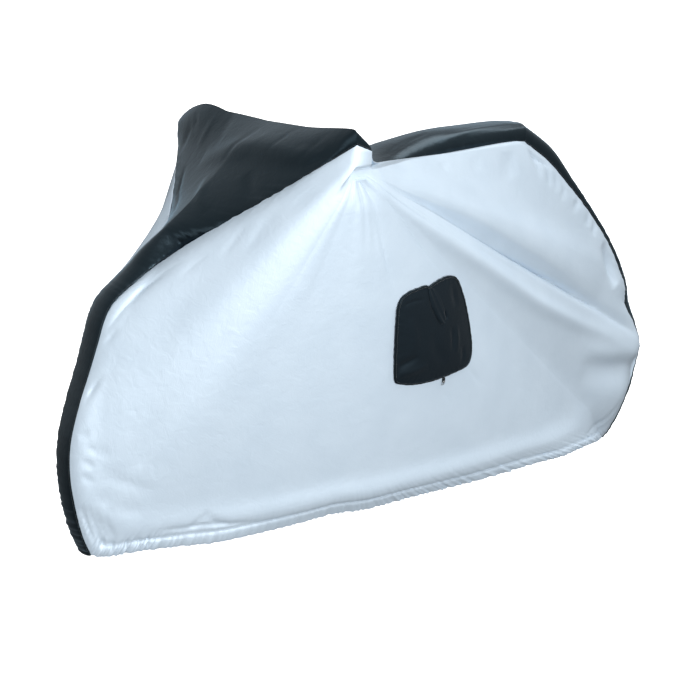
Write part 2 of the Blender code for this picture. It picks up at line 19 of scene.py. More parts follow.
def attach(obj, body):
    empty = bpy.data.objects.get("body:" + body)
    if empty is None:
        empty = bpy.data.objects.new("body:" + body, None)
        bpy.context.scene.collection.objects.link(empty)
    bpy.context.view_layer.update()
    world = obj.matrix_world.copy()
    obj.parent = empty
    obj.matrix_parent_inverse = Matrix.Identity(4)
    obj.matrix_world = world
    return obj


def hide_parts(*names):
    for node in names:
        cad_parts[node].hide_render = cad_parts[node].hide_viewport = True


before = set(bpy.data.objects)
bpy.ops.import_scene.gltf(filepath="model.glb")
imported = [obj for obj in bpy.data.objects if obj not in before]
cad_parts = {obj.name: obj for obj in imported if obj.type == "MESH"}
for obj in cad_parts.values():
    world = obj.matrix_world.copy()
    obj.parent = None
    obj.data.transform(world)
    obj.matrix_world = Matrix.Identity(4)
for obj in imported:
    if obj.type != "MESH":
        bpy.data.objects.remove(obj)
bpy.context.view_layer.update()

# %% [markdown]
# ## The camera first
# A product photograph is taken from a little above and some way off, so that the near
# side shows almost square on.  The camera stands where the photographer stood.  A long
# lens keeps the two ends of the cover at nearly the same scale.

# %% Put the camera where the photographer stood
REST = np.array([-0.83, 0.0, 1.026])  # the part's origin, seen from the middle of the nose
CAMERA_AT = np.array([1.9716, 3.2671, 1.5320]) - REST
CAMERA_YAW = -126.506     # degrees, 0 looks along +X
CAMERA_PITCH = -14.181
SENSOR = 36.0             # mm
LENS = 1718.49 / 700 * SENSOR

camera_data = bpy.data.cameras.new("camera")
camera_data.sensor_width = SENSOR
camera_data.lens = LENS
camera = bpy.data.objects.new("camera", camera_data)
camera.location = CAMERA_AT
camera.rotation_euler = (math.radians(90 + CAMERA_PITCH), 0, math.radians(CAMERA_YAW - 90))
bpy.context.scene.collection.objects.link(camera)
bpy.context.scene.camera = camera
print("lens", round(LENS, 1), "mm")

# %% [markdown]
# ## The shape of the hung cloth
# Cloth that is pulled over something hard takes a shape made of few lines: its seams,
# its hem and the straight folds between the points that hold it up.  It could be
# simulated, but a simulation doesn't put each fold where this cover has it.  So the
# surface is laid out from short tables: sections across the dark band, and ribs that
# fan out over each side from the corner of the hood.

# %% The dark band in sections, from the front hem over the top to the rear hem
HALF_WIDTH = 0.338        # of the hood, at its corners
RIGHT_LEAD = 0.037        # how much further forward its right corner stands
RIGHT_DROP = 0.058        # and how much lower
Horn = namedtuple("Horn", "rise start end")
LEFT_HORN = Horn(0.016, 0.12, 0.40)   # how far the hood rises, from and to how far out
RIGHT_HORN = Horn(0.027, 0.10, 0.25)
HORN_RINGS = 3            # this many rings below the ridge, the rise has gone
RINGS = 12                # rings in the tables of the hood and the dip
RING_CROWDING = 1.3       # above 1, those rings crowd towards the ridge

NOSE = np.array([  # mid_x mid_z edge_x edge_y edge_z crown
    (0.299, 0.147, 0.293, 0.030, 0.151, 1.1), (0.320, 0.195, 0.312, 0.030, 0.199, 1.1),
    (0.338, 0.268, 0.328, 0.031, 0.270, 1.1), (0.343, 0.345, 0.337, 0.031, 0.345, 1.1),
    (0.337, 0.418, 0.332, 0.031, 0.420, 1.1), (0.311, 0.503, 0.307, 0.032, 0.505, 1.1),
    (0.287, 0.571, 0.282, 0.033, 0.569, 1.1), (0.266, 0.637, 0.258, 0.035, 0.635, 1.1),
    (0.253, 0.680, 0.243, 0.036, 0.678, 1.1), (0.235, 0.715, 0.227, 0.037, 0.708, 1.1),
    (0.214, 0.740, 0.206, 0.038, 0.729, 1.1), (0.190, 0.758, 0.178, 0.038, 0.748, 1.1),
    (0.155, 0.787, 0.134, 0.039, 0.776, 1.1), (0.119, 0.822, 0.090, 0.040, 0.799, 1.1),
    (0.068, 0.860, 0.038, 0.040, 0.819, 1.2),
])
HUMP = np.array([
    (-0.435, 0.983, -0.420, 0.120, 0.969, 1.2), (-0.500, 0.992, -0.498, 0.092, 0.963, 1.1),
    (-0.572, 1.008, -0.565, 0.078, 0.962, 1.0), (-0.655, 1.022, -0.643, 0.066, 0.963, 0.9),
    (-0.720, 1.027, -0.710, 0.063, 0.967, 0.8), (-0.785, 1.028, -0.776, 0.061, 0.971, 0.7),
    (-0.900, 1.030, -0.890, 0.058, 0.979, 0.6), (-0.962, 1.026, -0.953, 0.055, 0.980, 0.55),
])
TAIL = np.array([
    (-1.061, 0.958, -1.035, 0.055, 0.925, 0.50), (-1.140, 0.867, -1.117, 0.055, 0.849, 0.50),
    (-1.191, 0.809, -1.173, 0.052, 0.795, 0.50), (-1.257, 0.735, -1.242, 0.046, 0.722, 0.55),
    (-1.307, 0.669, -1.293, 0.042, 0.655, 0.60), (-1.345, 0.613, -1.322, 0.040, 0.604, 0.80),
    (-1.372, 0.560, -1.349, 0.037, 0.556, 1.0), (-1.388, 0.506, -1.353, 0.036, 0.504, 1.0),
    (-1.412, 0.448, -1.391, 0.033, 0.449, 1.0), (-1.430, 0.382, -1.421, 0.031, 0.383, 1.0),
    (-1.420, 0.312, -1.402, 0.031, 0.318, 1.0), (-1.400, 0.245, -1.377, 0.031, 0.253, 1.0),
    (-1.345, 0.162, -1.326, 0.031, 0.170, 1.0), (-1.304, 0.128, -1.290, 0.031, 0.138, 1.0),
])
HOOD_MID = np.array([  # ring x z crown, from the ridge down to the neck
    (0, -0.212, 1.080, 0.14), (1, -0.176, 1.064, 0.90), (2, -0.140, 1.038, 1.30),
    (3, -0.108, 1.006, 1.60), (6, -0.050, 0.953, 1.85), (9, 0.009, 0.904, 1.80),
    (12, 0.068, 0.860, 1.20),
])
DIP_MID = np.array([  # ring x z crown, from behind the ridge to the hump
    (0, -0.248, 1.062, 0.25), (2, -0.266, 1.036, 0.60), (5, -0.296, 1.007, 0.80),
    (9, -0.365, 0.986, 1.10), (12, -0.435, 0.983, 1.20),
])
HEM = np.array([  # x y z, front to back
    (0.272, 0.036, 0.143), (0.240, 0.044, 0.142), (0.205, 0.051, 0.143),
    (0.165, 0.058, 0.142), (0.085, 0.070, 0.137), (0.005, 0.083, 0.131),
    (-0.074, 0.095, 0.132), (-0.157, 0.106, 0.134), (-0.235, 0.115, 0.137),
    (-0.312, 0.125, 0.142), (-0.399, 0.133, 0.137), (-0.490, 0.140, 0.141),
    (-0.569, 0.144, 0.144), (-0.652, 0.147, 0.146), (-0.739, 0.148, 0.148),
    (-0.852, 0.142, 0.151), (-0.958, 0.132, 0.152), (-1.056, 0.118, 0.147),
    (-1.120, 0.104, 0.148), (-1.185, 0.085, 0.147), (-1.245, 0.060, 0.141),
])
# The ribs are numbered round a side.  They end on the seam of the nose, then on the hem,
# then on the seam of the tail, and after the crease behind the hump on the hump's seam.
NOSE_RIB, TAIL_RIB, CREASE_RIB, LAST_RIB = 14, 36, 50, 57
RIBS = np.array([  # number start left_in right_in back down sag_at
    (0, 0.00, 0.000, 0.000, 0.000, 0.000, 0.45), (2, 0.05, 0.006, 0.006, 0.024, 0.010, 0.45),
    (4, 0.10, 0.012, 0.018, 0.036, 0.020, 0.45), (7, 0.15, 0.016, 0.030, 0.034, 0.014, 0.48),
    (9, 0.18, 0.014, 0.034, 0.016, 0.004, 0.50), (11, 0.22, 0.010, 0.022, 0.000, 0.000, 0.50),
    (14, 0.33, 0.010, 0.014, 0.000, 0.000, 0.50), (20, 0.41, 0.010, 0.012, 0.000, 0.000, 0.50),
    (27, 0.52, 0.004, 0.008, 0.000, 0.000, 0.50), (32, 0.60, 0.010, 0.012, 0.000, 0.000, 0.50),
    (36, 0.65, 0.010, 0.012, 0.000, 0.000, 0.55), (38.6, 0.68, -0.002, 0.000, 0.000, 0.000, 0.50),
    (40, 0.69, 0.008, 0.008, 0.000, 0.000, 0.50), (41, 0.70, 0.007, 0.010, 0.000, 0.000, 0.52),
    (43, 0.72, 0.017, 0.018, 0.000, 0.000, 0.55), (46, 0.74, 0.034, 0.032, 0.000, 0.004, 0.50),
    (50, 0.77, 0.050, 0.050, 0.000, 0.016, 0.42), (53, 0.80, 0.056, 0.056, 0.000, 0.024, 0.38),
    (55, 0.84, 0.050, 0.050, 0.000, 0.022, 0.36), (56, 0.90, 0.030, 0.030, 0.000, 0.014, 0.40),
    (57, 1.00, 0.000, 0.000, 0.000, 0.000, 0.50),
])
CORNER_FRONT = (-0.215, 1.058)  # the flat end of the hood's corner, in side view
CORNER_BACK = (-0.256, 1.042)
CORNER_BOTTOM = 0.995
CORNER_LEAN = 0.05        # how far it leans in for each metre down
EASE_WIDTH = 2.8          # ribs that are evened out together
EASE_RIBS = ((5, 4.5), (14, 4.5), (34.4, 3.4))  # rib, reach in ribs
LEFT_SLACK = 0.35         # how much of the sag under the hood's seam the left side has
print(len(NOSE) + len(HUMP) + len(TAIL), "sections,", len(RIBS), "ribs in the table")

# %% [markdown]
# A table row is one place.  Between rows the cloth curves smoothly, so a curve is drawn
# through them: each row gets the slope of its neighbours, and a cubic joins row to row.

# %% Smooth curves through tables
def smooth(share):
    """A share from 0 to 1, eased at both ends."""
    share = np.clip(share, 0.0, 1.0)
    return share * share * (3.0 - 2.0 * share)


def curve_through(places, rows, at):
    """Each column of the rows at any places, on a smooth curve through them."""
    places, rows, at = np.asarray(places, float), np.asarray(rows, float), np.asarray(at, float)
    slope = np.gradient(rows, places, axis=0)
    i = np.clip(np.searchsorted(places, at, side="right") - 1, 0, len(places) - 2)
    width = places[i + 1] - places[i]
    t = np.clip((at - places[i]) / width, 0.0, 1.0)
    if rows.ndim == 2:
        width, t = width[:, None], t[:, None]
    t2, t3 = t * t, t * t * t
    return ((2 * t3 - 3 * t2 + 1) * rows[i] + (t3 - 2 * t2 + t) * width * slope[i]
            + (3 * t2 - 2 * t3) * rows[i + 1] + (t3 - t2) * width * slope[i + 1])


def through(rows, at):
    """A curve through rows that are numbered from 0."""
    return curve_through(range(len(rows)), rows, at)


def reach_along(grid, axis):
    """Distance walked along one way of a grid, from its first row or column."""
    steps = np.linalg.norm(np.diff(grid, axis=axis), axis=-1).cumsum(axis)
    return np.concatenate([np.zeros_like(np.take(steps, [0], axis)), steps], axis)


def places_along(line, length, at):
    """The points of a line at distances walked along it."""
    return np.stack([np.interp(at, length, column) for column in line.T], -1)


def in_steps(bounds_and_counts):
    """Even steps between bounds, each with its own count, without repeats."""
    parts = [np.linspace(a, b, n, endpoint=False) for a, b, n in bounds_and_counts]
    return np.concatenate(parts + [[bounds_and_counts[-1][1]]])


RIB_NUMBERS = in_steps([(0, 12, 110), (12, 17, 80), (17, TAIL_RIB, 400),
                        (TAIL_RIB, CREASE_RIB, 115), (CREASE_RIB, LAST_RIB, 40)])
RING_SHARES = in_steps([(0.0, 0.3, 10), (0.3, 0.8, 24), (0.8, 0.93, 11), (0.93, 1.0, 15)])
COLUMN_SHARES = np.linspace(0.0, 1.0, 57)  # across half of the band
print(len(RIB_NUMBERS), "ribs by", len(RING_SHARES), "rings on each side")

# %% [markdown]
# ## One surface for the whole cover
# Two panels that are sewn together have to meet in every point of their seam.  So all
# five are first one surface with shared points.  The folds are then pressed into it
# along its own directions, and last it is cut along the seams.

# %% Points of the side panels
def edge_of_side(numbers):
    """The left side's outer edge: nose seam, hem, tail seam and hump seam."""
    back = np.vstack([HUMP, TAIL])[:, 2:5]
    hem = np.vstack([NOSE[:1, 2:5], HEM, TAIL[-1:, 2:5]])
    edge = np.empty((len(numbers), 3))
    nose, low = numbers <= NOSE_RIB, (numbers > NOSE_RIB) & (numbers < TAIL_RIB)
    tail, hump = (numbers >= TAIL_RIB) & (numbers < CREASE_RIB), numbers >= CREASE_RIB
    edge[nose] = through(NOSE[:, 2:5], NOSE_RIB - numbers[nose])
    edge[low] = through(hem, numbers[low] - NOSE_RIB)
    edge[tail] = through(back[len(HUMP) - 1:], CREASE_RIB - numbers[tail])
    edge[hump] = through(back[:len(HUMP)], LAST_RIB - numbers[hump])
    return edge


def corner_outline(share):
    """The outline of the hood corner's flat end, front crease to back crease."""
    radius = (CORNER_FRONT[0] - CORNER_BACK[0]) / 2
    front, back = CORNER_FRONT[1] - CORNER_BOTTOM, CORNER_BACK[1] - CORNER_BOTTOM
    round_part = math.pi * radius
    at = np.asarray(share) * (front + round_part + back)
    turn = np.clip((at - front) / radius, 0.0, math.pi)
    x = CORNER_FRONT[0] - radius + radius * np.cos(turn)
    z = np.where(at <= front, CORNER_FRONT[1] - at, CORNER_BOTTOM - radius * np.sin(turn))
    z = np.where(at > front + round_part, CORNER_BOTTOM + at - front - round_part, z)
    return np.stack([x, HALF_WIDTH - CORNER_LEAN * (CORNER_FRONT[1] - z), z], -1)


def eased_across(points):
    """Cloth doesn't crease along every rib: even out the turns under the seams' corners."""
    u, v = RIB_NUMBERS, RING_SHARES[None, :, None]
    weights = np.exp(-((u[:, None] - u[None, :]) / EASE_WIDTH) ** 2) * np.gradient(u)
    even = np.tensordot(weights / weights.sum(1, keepdims=True), points, 1)
    # The easing fades out towards all four edges of the grid, so the seams stay put.
    near = sum(np.exp(-((u - rib) / reach) ** 2) for rib, reach in EASE_RIBS)
    near = np.clip(near, 0, 1) * smooth(u / 1.5) * smooth((LAST_RIB - u) / 3)
    share = near[:, None, None] * smooth((1 - v) / 0.10) * smooth(v / 0.06)
    return points + (even - points) * share


def side_points(on_right):
    """Ribs by rings of a side panel, worked out on the left.  Each rib sags towards the hem."""
    start, left_in, right_in, back, down, sag_at = curve_through(
        RIBS[:, 0], RIBS[:, 1:], RIB_NUMBERS).T
    slack = 1.0 if on_right else LEFT_SLACK
    sag = np.stack([back * slack, right_in if on_right else left_in, down * slack], -1)
    v = RING_SHARES[None, :]
    power = ((1.0 - sag_at) / sag_at)[:, None]
    most = (sag_at * (1.0 - sag_at) ** power[:, 0])[:, None]
    bulge = v * (1.0 - v) ** power / most
    begin, end = corner_outline(start), edge_of_side(RIB_NUMBERS)
    return eased_across(begin[:, None] * (1 - v)[..., None] + end[:, None] * v[..., None]
                        - sag[:, None] * bulge[..., None])


def to_right(points):
    """The right side mirrors the left, its hood corner further forward and lower."""
    share = np.abs(points[..., 1]) / HALF_WIDTH
    return np.stack([points[..., 0] + RIGHT_LEAD * share ** 2, -points[..., 1],
                     points[..., 2] - RIGHT_DROP * share ** 6], -1)


left_side = side_points(False)
right_unmirrored = side_points(True)
right_side = to_right(right_unmirrored)
print("side grid", left_side.shape)

# %% Points of the dark band
def band_rows(table, horn_share, horn):
    """The left half of each section: points at even shares of its length."""
    mid_x, mid_z, edge_x, edge_y, edge_z, crown = (column[:, None] for column in table.T)
    turn = np.linspace(0, math.pi / 2, 400)[None, :]
    above = np.clip(np.cos(turn), 0, 1) ** crown
    y = edge_y * np.sin(turn) ** crown
    rise = horn.rise * smooth((y - horn.start) / (horn.end - horn.start))
    fine = np.stack([edge_x + (mid_x - edge_x) * above, y,
                     edge_z + (mid_z - edge_z) * above
                     + rise * horn_share[:, None] * smooth(2 * above)], -1)
    return np.stack([places_along(line, length, COLUMN_SHARES * length[-1])
                     for line, length in zip(fine, reach_along(fine, 1))])


def ring_sections(middle, seam, rings):
    """Sections whose sewn edge is a seam of the side panel."""
    x, z, crown = curve_through(middle[:, 0], middle[:, 1:], rings).T
    return np.column_stack([x, z, seam, crown])


rings = RINGS * RING_SHARES ** (1 / RING_CROWDING)
hood = ring_sections(HOOD_MID, left_side[0], rings)[::-1]
dip = ring_sections(DIP_MID, left_side[-1], rings)
ridge_steps = np.linspace(0, 1, 7)[1:-1, None]
ridge = hood[-1] * (1 - ridge_steps) + dip[0] * ridge_steps
is_nose, is_hump = RIB_NUMBERS <= NOSE_RIB, RIB_NUMBERS >= CREASE_RIB
is_back = RIB_NUMBERS >= TAIL_RIB
is_tail = is_back & (RIB_NUMBERS <= CREASE_RIB)
nose_at = NOSE_RIB - RIB_NUMBERS[is_nose][::-1]
hump_at = LAST_RIB - RIB_NUMBERS[is_hump][::-1]
tail_at = CREASE_RIB - RIB_NUMBERS[is_tail][::-1]
sections = [through(NOSE, nose_at), hood[1:], ridge, dip, through(HUMP, hump_at)[1:],
            through(np.vstack([HUMP[-1:], TAIL]), tail_at)[1:]]
first_row = np.cumsum([0] + [len(part) for part in sections])
sections = np.vstack(sections)
horn_share = np.zeros(len(sections))
horn_share[first_row[1]:first_row[2]] = smooth(1 - rings[::-1][1:] / HORN_RINGS)
horn_share[first_row[2]:first_row[3]] = 1 - ridge_steps[:, 0]
left_half = band_rows(sections, horn_share, LEFT_HORN)
right_half = to_right(band_rows(sections, horn_share, RIGHT_HORN))
band = np.concatenate([right_half[:, :0:-1], left_half], 1)
print("band grid", band.shape, "rows start at", first_row.tolist())

# %% [markdown]
# The grids are now numbered as one set of points.  Where a side meets the band, both
# use the band's own number.

# %% Number the points once and list the faces
FRONT, TOP, REAR, LEFT, RIGHT = range(5)
PANELS = ("front_panel", "top_panel", "tail_panel", "side_panel_left", "side_panel_right")
hood_row, dip_row, crease_row = first_row[2] - 1, first_row[3], first_row[5] - 1
band_index = np.arange(band.shape[0] * band.shape[1]).reshape(band.shape[:2])


def number_side(grid, column, count):
    """Numbers for a side's grid: its seams take the band's, the rest are new."""
    index = count + np.arange(grid.shape[0] * grid.shape[1]).reshape(grid.shape[:2])
    seam = band_index[:, column]
    nose, back = np.flatnonzero(is_nose), np.flatnonzero(is_back)
    index[nose, -1] = seam[first_row[1] - 1 - np.arange(len(nose))]
    index[back, -1] = seam[len(seam) - 1 - np.arange(len(back))]
    index[0] = seam[hood_row - np.arange(grid.shape[1])]
    index[-1] = seam[dip_row + np.arange(grid.shape[1])]
    return index


left_index = number_side(left_side, -1, band_index.size)
right_index = number_side(right_side, 0, band_index.size + left_index.size)
skin = np.vstack([band.reshape(-1, 3), left_side.reshape(-1, 3), right_side.reshape(-1, 3)])


def quads(index):
    """A grid's faces, four numbers each."""
    return np.stack([index[:-1, :-1], index[:-1, 1:], index[1:, 1:], index[1:, :-1]],
                    -1).reshape(-1, 4)


def corner_triangles(index, column):
    """Close the flat end of a hood corner inside its outline."""
    outline = np.concatenate([index[:, 0], band_index[hood_row + 1:dip_row, column][::-1]])
    flat = [Vector((skin[i][0], skin[i][2], 0.0)) for i in outline]
    return outline[np.array(tessellate_polygon([flat]))]


faces = {FRONT: [quads(band_index[:hood_row + 1])],
         TOP: [quads(band_index[hood_row:crease_row + 1])],
         REAR: [quads(band_index[crease_row:])],
         LEFT: [quads(left_index), corner_triangles(left_index, -1)],
         RIGHT: [quads(right_index)[:, ::-1], corner_triangles(right_index, 0)]}


def split(blocks):
    """All faces of a panel as triangles, for sums over faces."""
    parts = [np.vstack([b[:, [0, 1, 2]], b[:, [0, 2, 3]]]) if b.shape[1] == 4 else b
             for b in blocks]
    return np.vstack(parts)


def ways_of(places, triangles):
    """The way that each triangle faces, as long as twice its area."""
    a, b, c = (places[triangles[:, k]] for k in range(3))
    return np.cross(b - a, c - a)


def normals_of(places):
    """The outward direction at each point of the whole skin."""
    total = np.zeros_like(places)
    for tag in faces:
        triangles = split(faces[tag])
        ways = ways_of(places, triangles)
        for corner in triangles.T:
            np.add.at(total, corner, ways)
    return total / np.maximum(np.linalg.norm(total, axis=1, keepdims=True), 1e-12)


INSIDE = np.array([-0.5, 0.0, 0.55])  # a place well inside the cover
for tag in faces:  # turn each block of faces outwards
    for k, block in enumerate(faces[tag]):
        triangles = split([block])
        away = skin[triangles].mean(1) - INSIDE
        if (ways_of(skin, triangles) * away).sum() < 0:
            faces[tag][k] = block[:, ::-1]
print({PANELS[tag]: sum(len(b) for b in faces[tag]) for tag in faces}, "faces")

# %% [markdown]
# ## Folds, creases and gathers
# Three things shape this cloth on top of its big form.  Long folds run from the corner
# of the hood to the edge, where the cloth is pulled.  Small puckers stand along every
# seam, because thread draws the cloth in.  The hem is a channel with elastic in it, so
# it gathers.  All are heights that are added outwards, which keeps every seam closed.

# %% Long folds along the ribs
Fold = namedtuple("Fold", "rib half_width start end height")
LEFT_FOLDS = [
    Fold(44.3, 1.8, 0.30, 0.97, 0.005), Fold(25.0, 1.6, 0.00, 0.30, 0.0015),
    Fold(19.0, 1.6, 0.00, 0.45, 0.0015), Fold(13.2, 1.4, 0.45, 0.98, -0.002),
]
RIGHT_FOLDS = [
    Fold(46.5, 1.6, 0.30, 0.95, 0.006), Fold(31.0, 2.0, 0.10, 0.85, 0.004),
    Fold(27.5, 1.6, 0.15, 0.80, -0.003), Fold(20.5, 1.6, 0.05, 0.60, 0.003),
    Fold(15.5, 1.6, 0.50, 1.00, 0.003), Fold(5.0, 2.0, 0.30, 0.95, 0.004),
]


def folds_height(folds):
    """How far the folds lift each point of a side's grid."""
    height = np.zeros((len(RIB_NUMBERS), len(RING_SHARES)))
    for fold in folds:
        side = np.clip(np.abs(RIB_NUMBERS - fold.rib) / fold.half_width, 0, 1)[:, None]
        along = np.clip((RING_SHARES - fold.start) / (fold.end - fold.start), 0, 1)[None, :]
        height += fold.height * np.cos(side * math.pi / 2) ** 2 * np.sin(along * math.pi) ** 0.6
    return height


# %% [markdown]
# The creases don't follow the ribs, so each is a short line in side view, with places in
# metres.  A crisp crease falls off like a tent's ridge, a soft one like a hill.  Where its
# width is a pair, the first is the width above a line that runs to the tail, the second
# the width below it: a fold that hangs over is long on one side and steep on the other.

# %% Creases of each side, as lines in side view
Crease = namedtuple("Crease", "line width height crisp")
LEFT_CREASES = [
    # the long fold from the hood's corner to the tail: its crest, the valley over it
    # and the cloth that hangs forward over the valley
    Crease(((-0.288, 0.960), (-0.360, 0.908), (-0.502, 0.824), (-0.682, 0.724),
            (-0.918, 0.588), (-1.124, 0.492), (-1.316, 0.416)), 0.020, 0.011, False),
    Crease(((-0.262, 0.998), (-0.356, 0.944), (-0.510, 0.881), (-0.666, 0.802),
            (-0.834, 0.716), (-1.016, 0.625), (-1.212, 0.523), (-1.392, 0.410)),
           (0.024, 0.012), -0.026, True),
    Crease(((-0.400, 0.958), (-0.522, 0.906), (-0.682, 0.825), (-0.854, 0.737),
            (-1.034, 0.647), (-1.212, 0.554)), (0.070, 0.018), 0.019, False),
    # under its end, where the cloth turns down and back
    Crease(((-1.140, 0.376), (-1.260, 0.352), (-1.380, 0.332), (-1.440, 0.326)),
           (0.026, 0.050), -0.017, False),
    Crease(((-0.280, 0.974), (-0.356, 0.926), (-0.428, 0.886), (-0.492, 0.850),
            (-0.550, 0.814), (-0.612, 0.788)), 0.004, -0.0018, True),
    Crease(((-0.266, 0.976), (-0.302, 0.952), (-0.358, 0.916), (-0.432, 0.874),
            (-0.506, 0.832)), 0.005, -0.0030, True),
    Crease(((-0.620, 0.786), (-0.742, 0.726), (-0.918, 0.640)), 0.004, -0.0012, True),
    # down from the hood's corner
    Crease(((-0.222, 1.030), (-0.223, 0.980), (-0.224, 0.930)), 0.004, -0.0020, True),
    Crease(((-0.234, 1.000), (-0.238, 0.950), (-0.242, 0.905)), 0.004, -0.0014, True),
    Crease(((-0.246, 0.985), (-0.248, 0.930)), 0.004, -0.0012, True),
    Crease(((-0.244, 0.948), (-0.260, 0.878), (-0.268, 0.818)), 0.006, -0.0010, False),
    Crease(((-0.256, 0.966), (-0.288, 0.898), (-0.310, 0.838), (-0.342, 0.768),
            (-0.370, 0.716)), 0.006, -0.0026, True),
    Crease(((-0.264, 0.944), (-0.282, 0.874), (-0.306, 0.786)), 0.007, -0.0014, False),
    Crease(((-0.282, 0.950), (-0.366, 0.886), (-0.414, 0.832), (-0.480, 0.772),
            (-0.520, 0.734)), 0.007, -0.0022, True),
    Crease(((-0.304, 0.934), (-0.350, 0.896), (-0.388, 0.860)), 0.006, -0.0014, False),
    # under the seam of the hump
    Crease(((-0.852, 0.966), (-0.856, 0.898)), 0.011, -0.0044, False),
    Crease(((-0.874, 0.964), (-0.882, 0.902)), 0.011, -0.0044, False),
    Crease(((-0.730, 0.968), (-0.734, 0.932)), 0.011, -0.0024, False),
    Crease(((-0.596, 0.970), (-0.590, 0.950)), 0.011, -0.0024, False),
    # under the seam of the tail
    Crease(((-0.950, 0.962), (-0.970, 0.944), (-0.998, 0.926), (-1.034, 0.908)),
           0.008, -0.0080, True),
    Crease(((-0.964, 0.954), (-0.986, 0.890)), 0.008, -0.0046, False),
    Crease(((-1.020, 0.912), (-1.020, 0.864)), 0.008, -0.0052, False),
    Crease(((-1.046, 0.892), (-1.048, 0.846)), 0.008, -0.0038, False),
    Crease(((-1.080, 0.858), (-1.066, 0.824)), 0.008, -0.0032, False),
    Crease(((-1.146, 0.822), (-1.108, 0.790)), 0.008, -0.0038, False),
    Crease(((-1.186, 0.778), (-1.162, 0.744)), 0.008, -0.0046, False),
    Crease(((-1.210, 0.750), (-1.188, 0.718)), 0.008, -0.0046, False),
    Crease(((-1.236, 0.690), (-1.262, 0.634), (-1.290, 0.568)), 0.018, -0.0150, False),
    # along the seam of the nose
    Crease(((0.242, 0.658), (0.208, 0.700), (0.164, 0.742), (0.118, 0.780),
            (0.076, 0.808)), 0.005, -0.0036, True),
    Crease(((0.190, 0.716), (0.148, 0.754), (0.102, 0.788)), 0.005, -0.0018, True),
    Crease(((0.094, 0.772), (0.064, 0.802), (0.040, 0.822)), 0.006, -0.0018, True),
    Crease(((0.250, 0.628), (0.218, 0.662)), 0.005, -0.0016, False),
    Crease(((0.302, 0.502), (0.280, 0.534), (0.256, 0.564)), 0.005, -0.0024, True),
    Crease(((0.290, 0.520), (0.268, 0.550)), 0.005, -0.0016, False),
    # under the seam of the hood
    Crease(((-0.034, 0.888), (-0.010, 0.858), (0.022, 0.812)), 0.005, -0.0018, True),
    Crease(((-0.068, 0.908), (-0.046, 0.872), (-0.022, 0.826)), 0.005, -0.0018, True),
    Crease(((-0.086, 0.926), (-0.066, 0.890), (-0.050, 0.850)), 0.004, -0.0012, True),
    Crease(((-0.132, 0.958), (-0.120, 0.928)), 0.006, -0.0014, False),
    # ripples behind the nose, and the fan into its lower corner
    Crease(((0.306, 0.414), (0.282, 0.396), (0.248, 0.386)), 0.006, -0.0018, False),
    Crease(((0.318, 0.432), (0.294, 0.440)), 0.006, -0.0020, False),
    Crease(((0.278, 0.354), (0.226, 0.320), (0.150, 0.280)), 0.008, -0.0018, False),
    Crease(((0.208, 0.372), (0.126, 0.346)), 0.008, -0.0012, False),
    Crease(((0.284, 0.296), (0.256, 0.268), (0.180, 0.236)), 0.008, -0.0018, False),
    Crease(((0.318, 0.346), (0.288, 0.326)), 0.006, -0.0018, False),
    Crease(((0.316, 0.380), (0.286, 0.360)), 0.006, -0.0018, False),
    Crease(((0.318, 0.276), (0.302, 0.226), (0.284, 0.172)), 0.005, -0.0034, False),
    Crease(((0.306, 0.274), (0.282, 0.210), (0.266, 0.164)), 0.005, -0.0034, False),
    Crease(((0.292, 0.266), (0.270, 0.210), (0.248, 0.170)), 0.005, -0.0024, False),
    Crease(((0.272, 0.242), (0.240, 0.180)), 0.006, -0.0020, False),
    # over the front of the hem
    Crease(((0.142, 0.190), (0.076, 0.184), (0.042, 0.186), (-0.032, 0.176),
            (-0.110, 0.168)), 0.005, -0.0040, True),
    Crease(((0.074, 0.184), (0.048, 0.198), (0.034, 0.206), (0.012, 0.190),
            (-0.028, 0.178)), 0.005, -0.0034, True),
    Crease(((0.270, 0.190), (0.266, 0.160)), 0.004, -0.0030, False),
    Crease(((0.246, 0.182), (0.250, 0.152)), 0.004, -0.0026, False),
    Crease(((0.216, 0.182), (0.218, 0.152)), 0.004, -0.0026, False),
    Crease(((0.188, 0.182), (0.188, 0.152)), 0.004, -0.0022, False),
    Crease(((0.166, 0.182), (0.168, 0.150)), 0.004, -0.0026, False),
    # where the pouch's stitches draw the cloth in
    Crease(((-0.402, 0.540), (-0.382, 0.558)), 0.005, -0.0016, False),
    Crease(((-0.410, 0.488), (-0.396, 0.466)), 0.005, -0.0016, False),
    Crease(((-0.562, 0.430), (-0.606, 0.396)), 0.006, -0.0014, False),
    Crease(((-0.658, 0.460), (-0.706, 0.424)), 0.007, -0.0016, False),
    # into the rear corner of the hem
    Crease(((-1.164, 0.170), (-1.268, 0.192), (-1.312, 0.242)), 0.007, -0.0030, False),
]
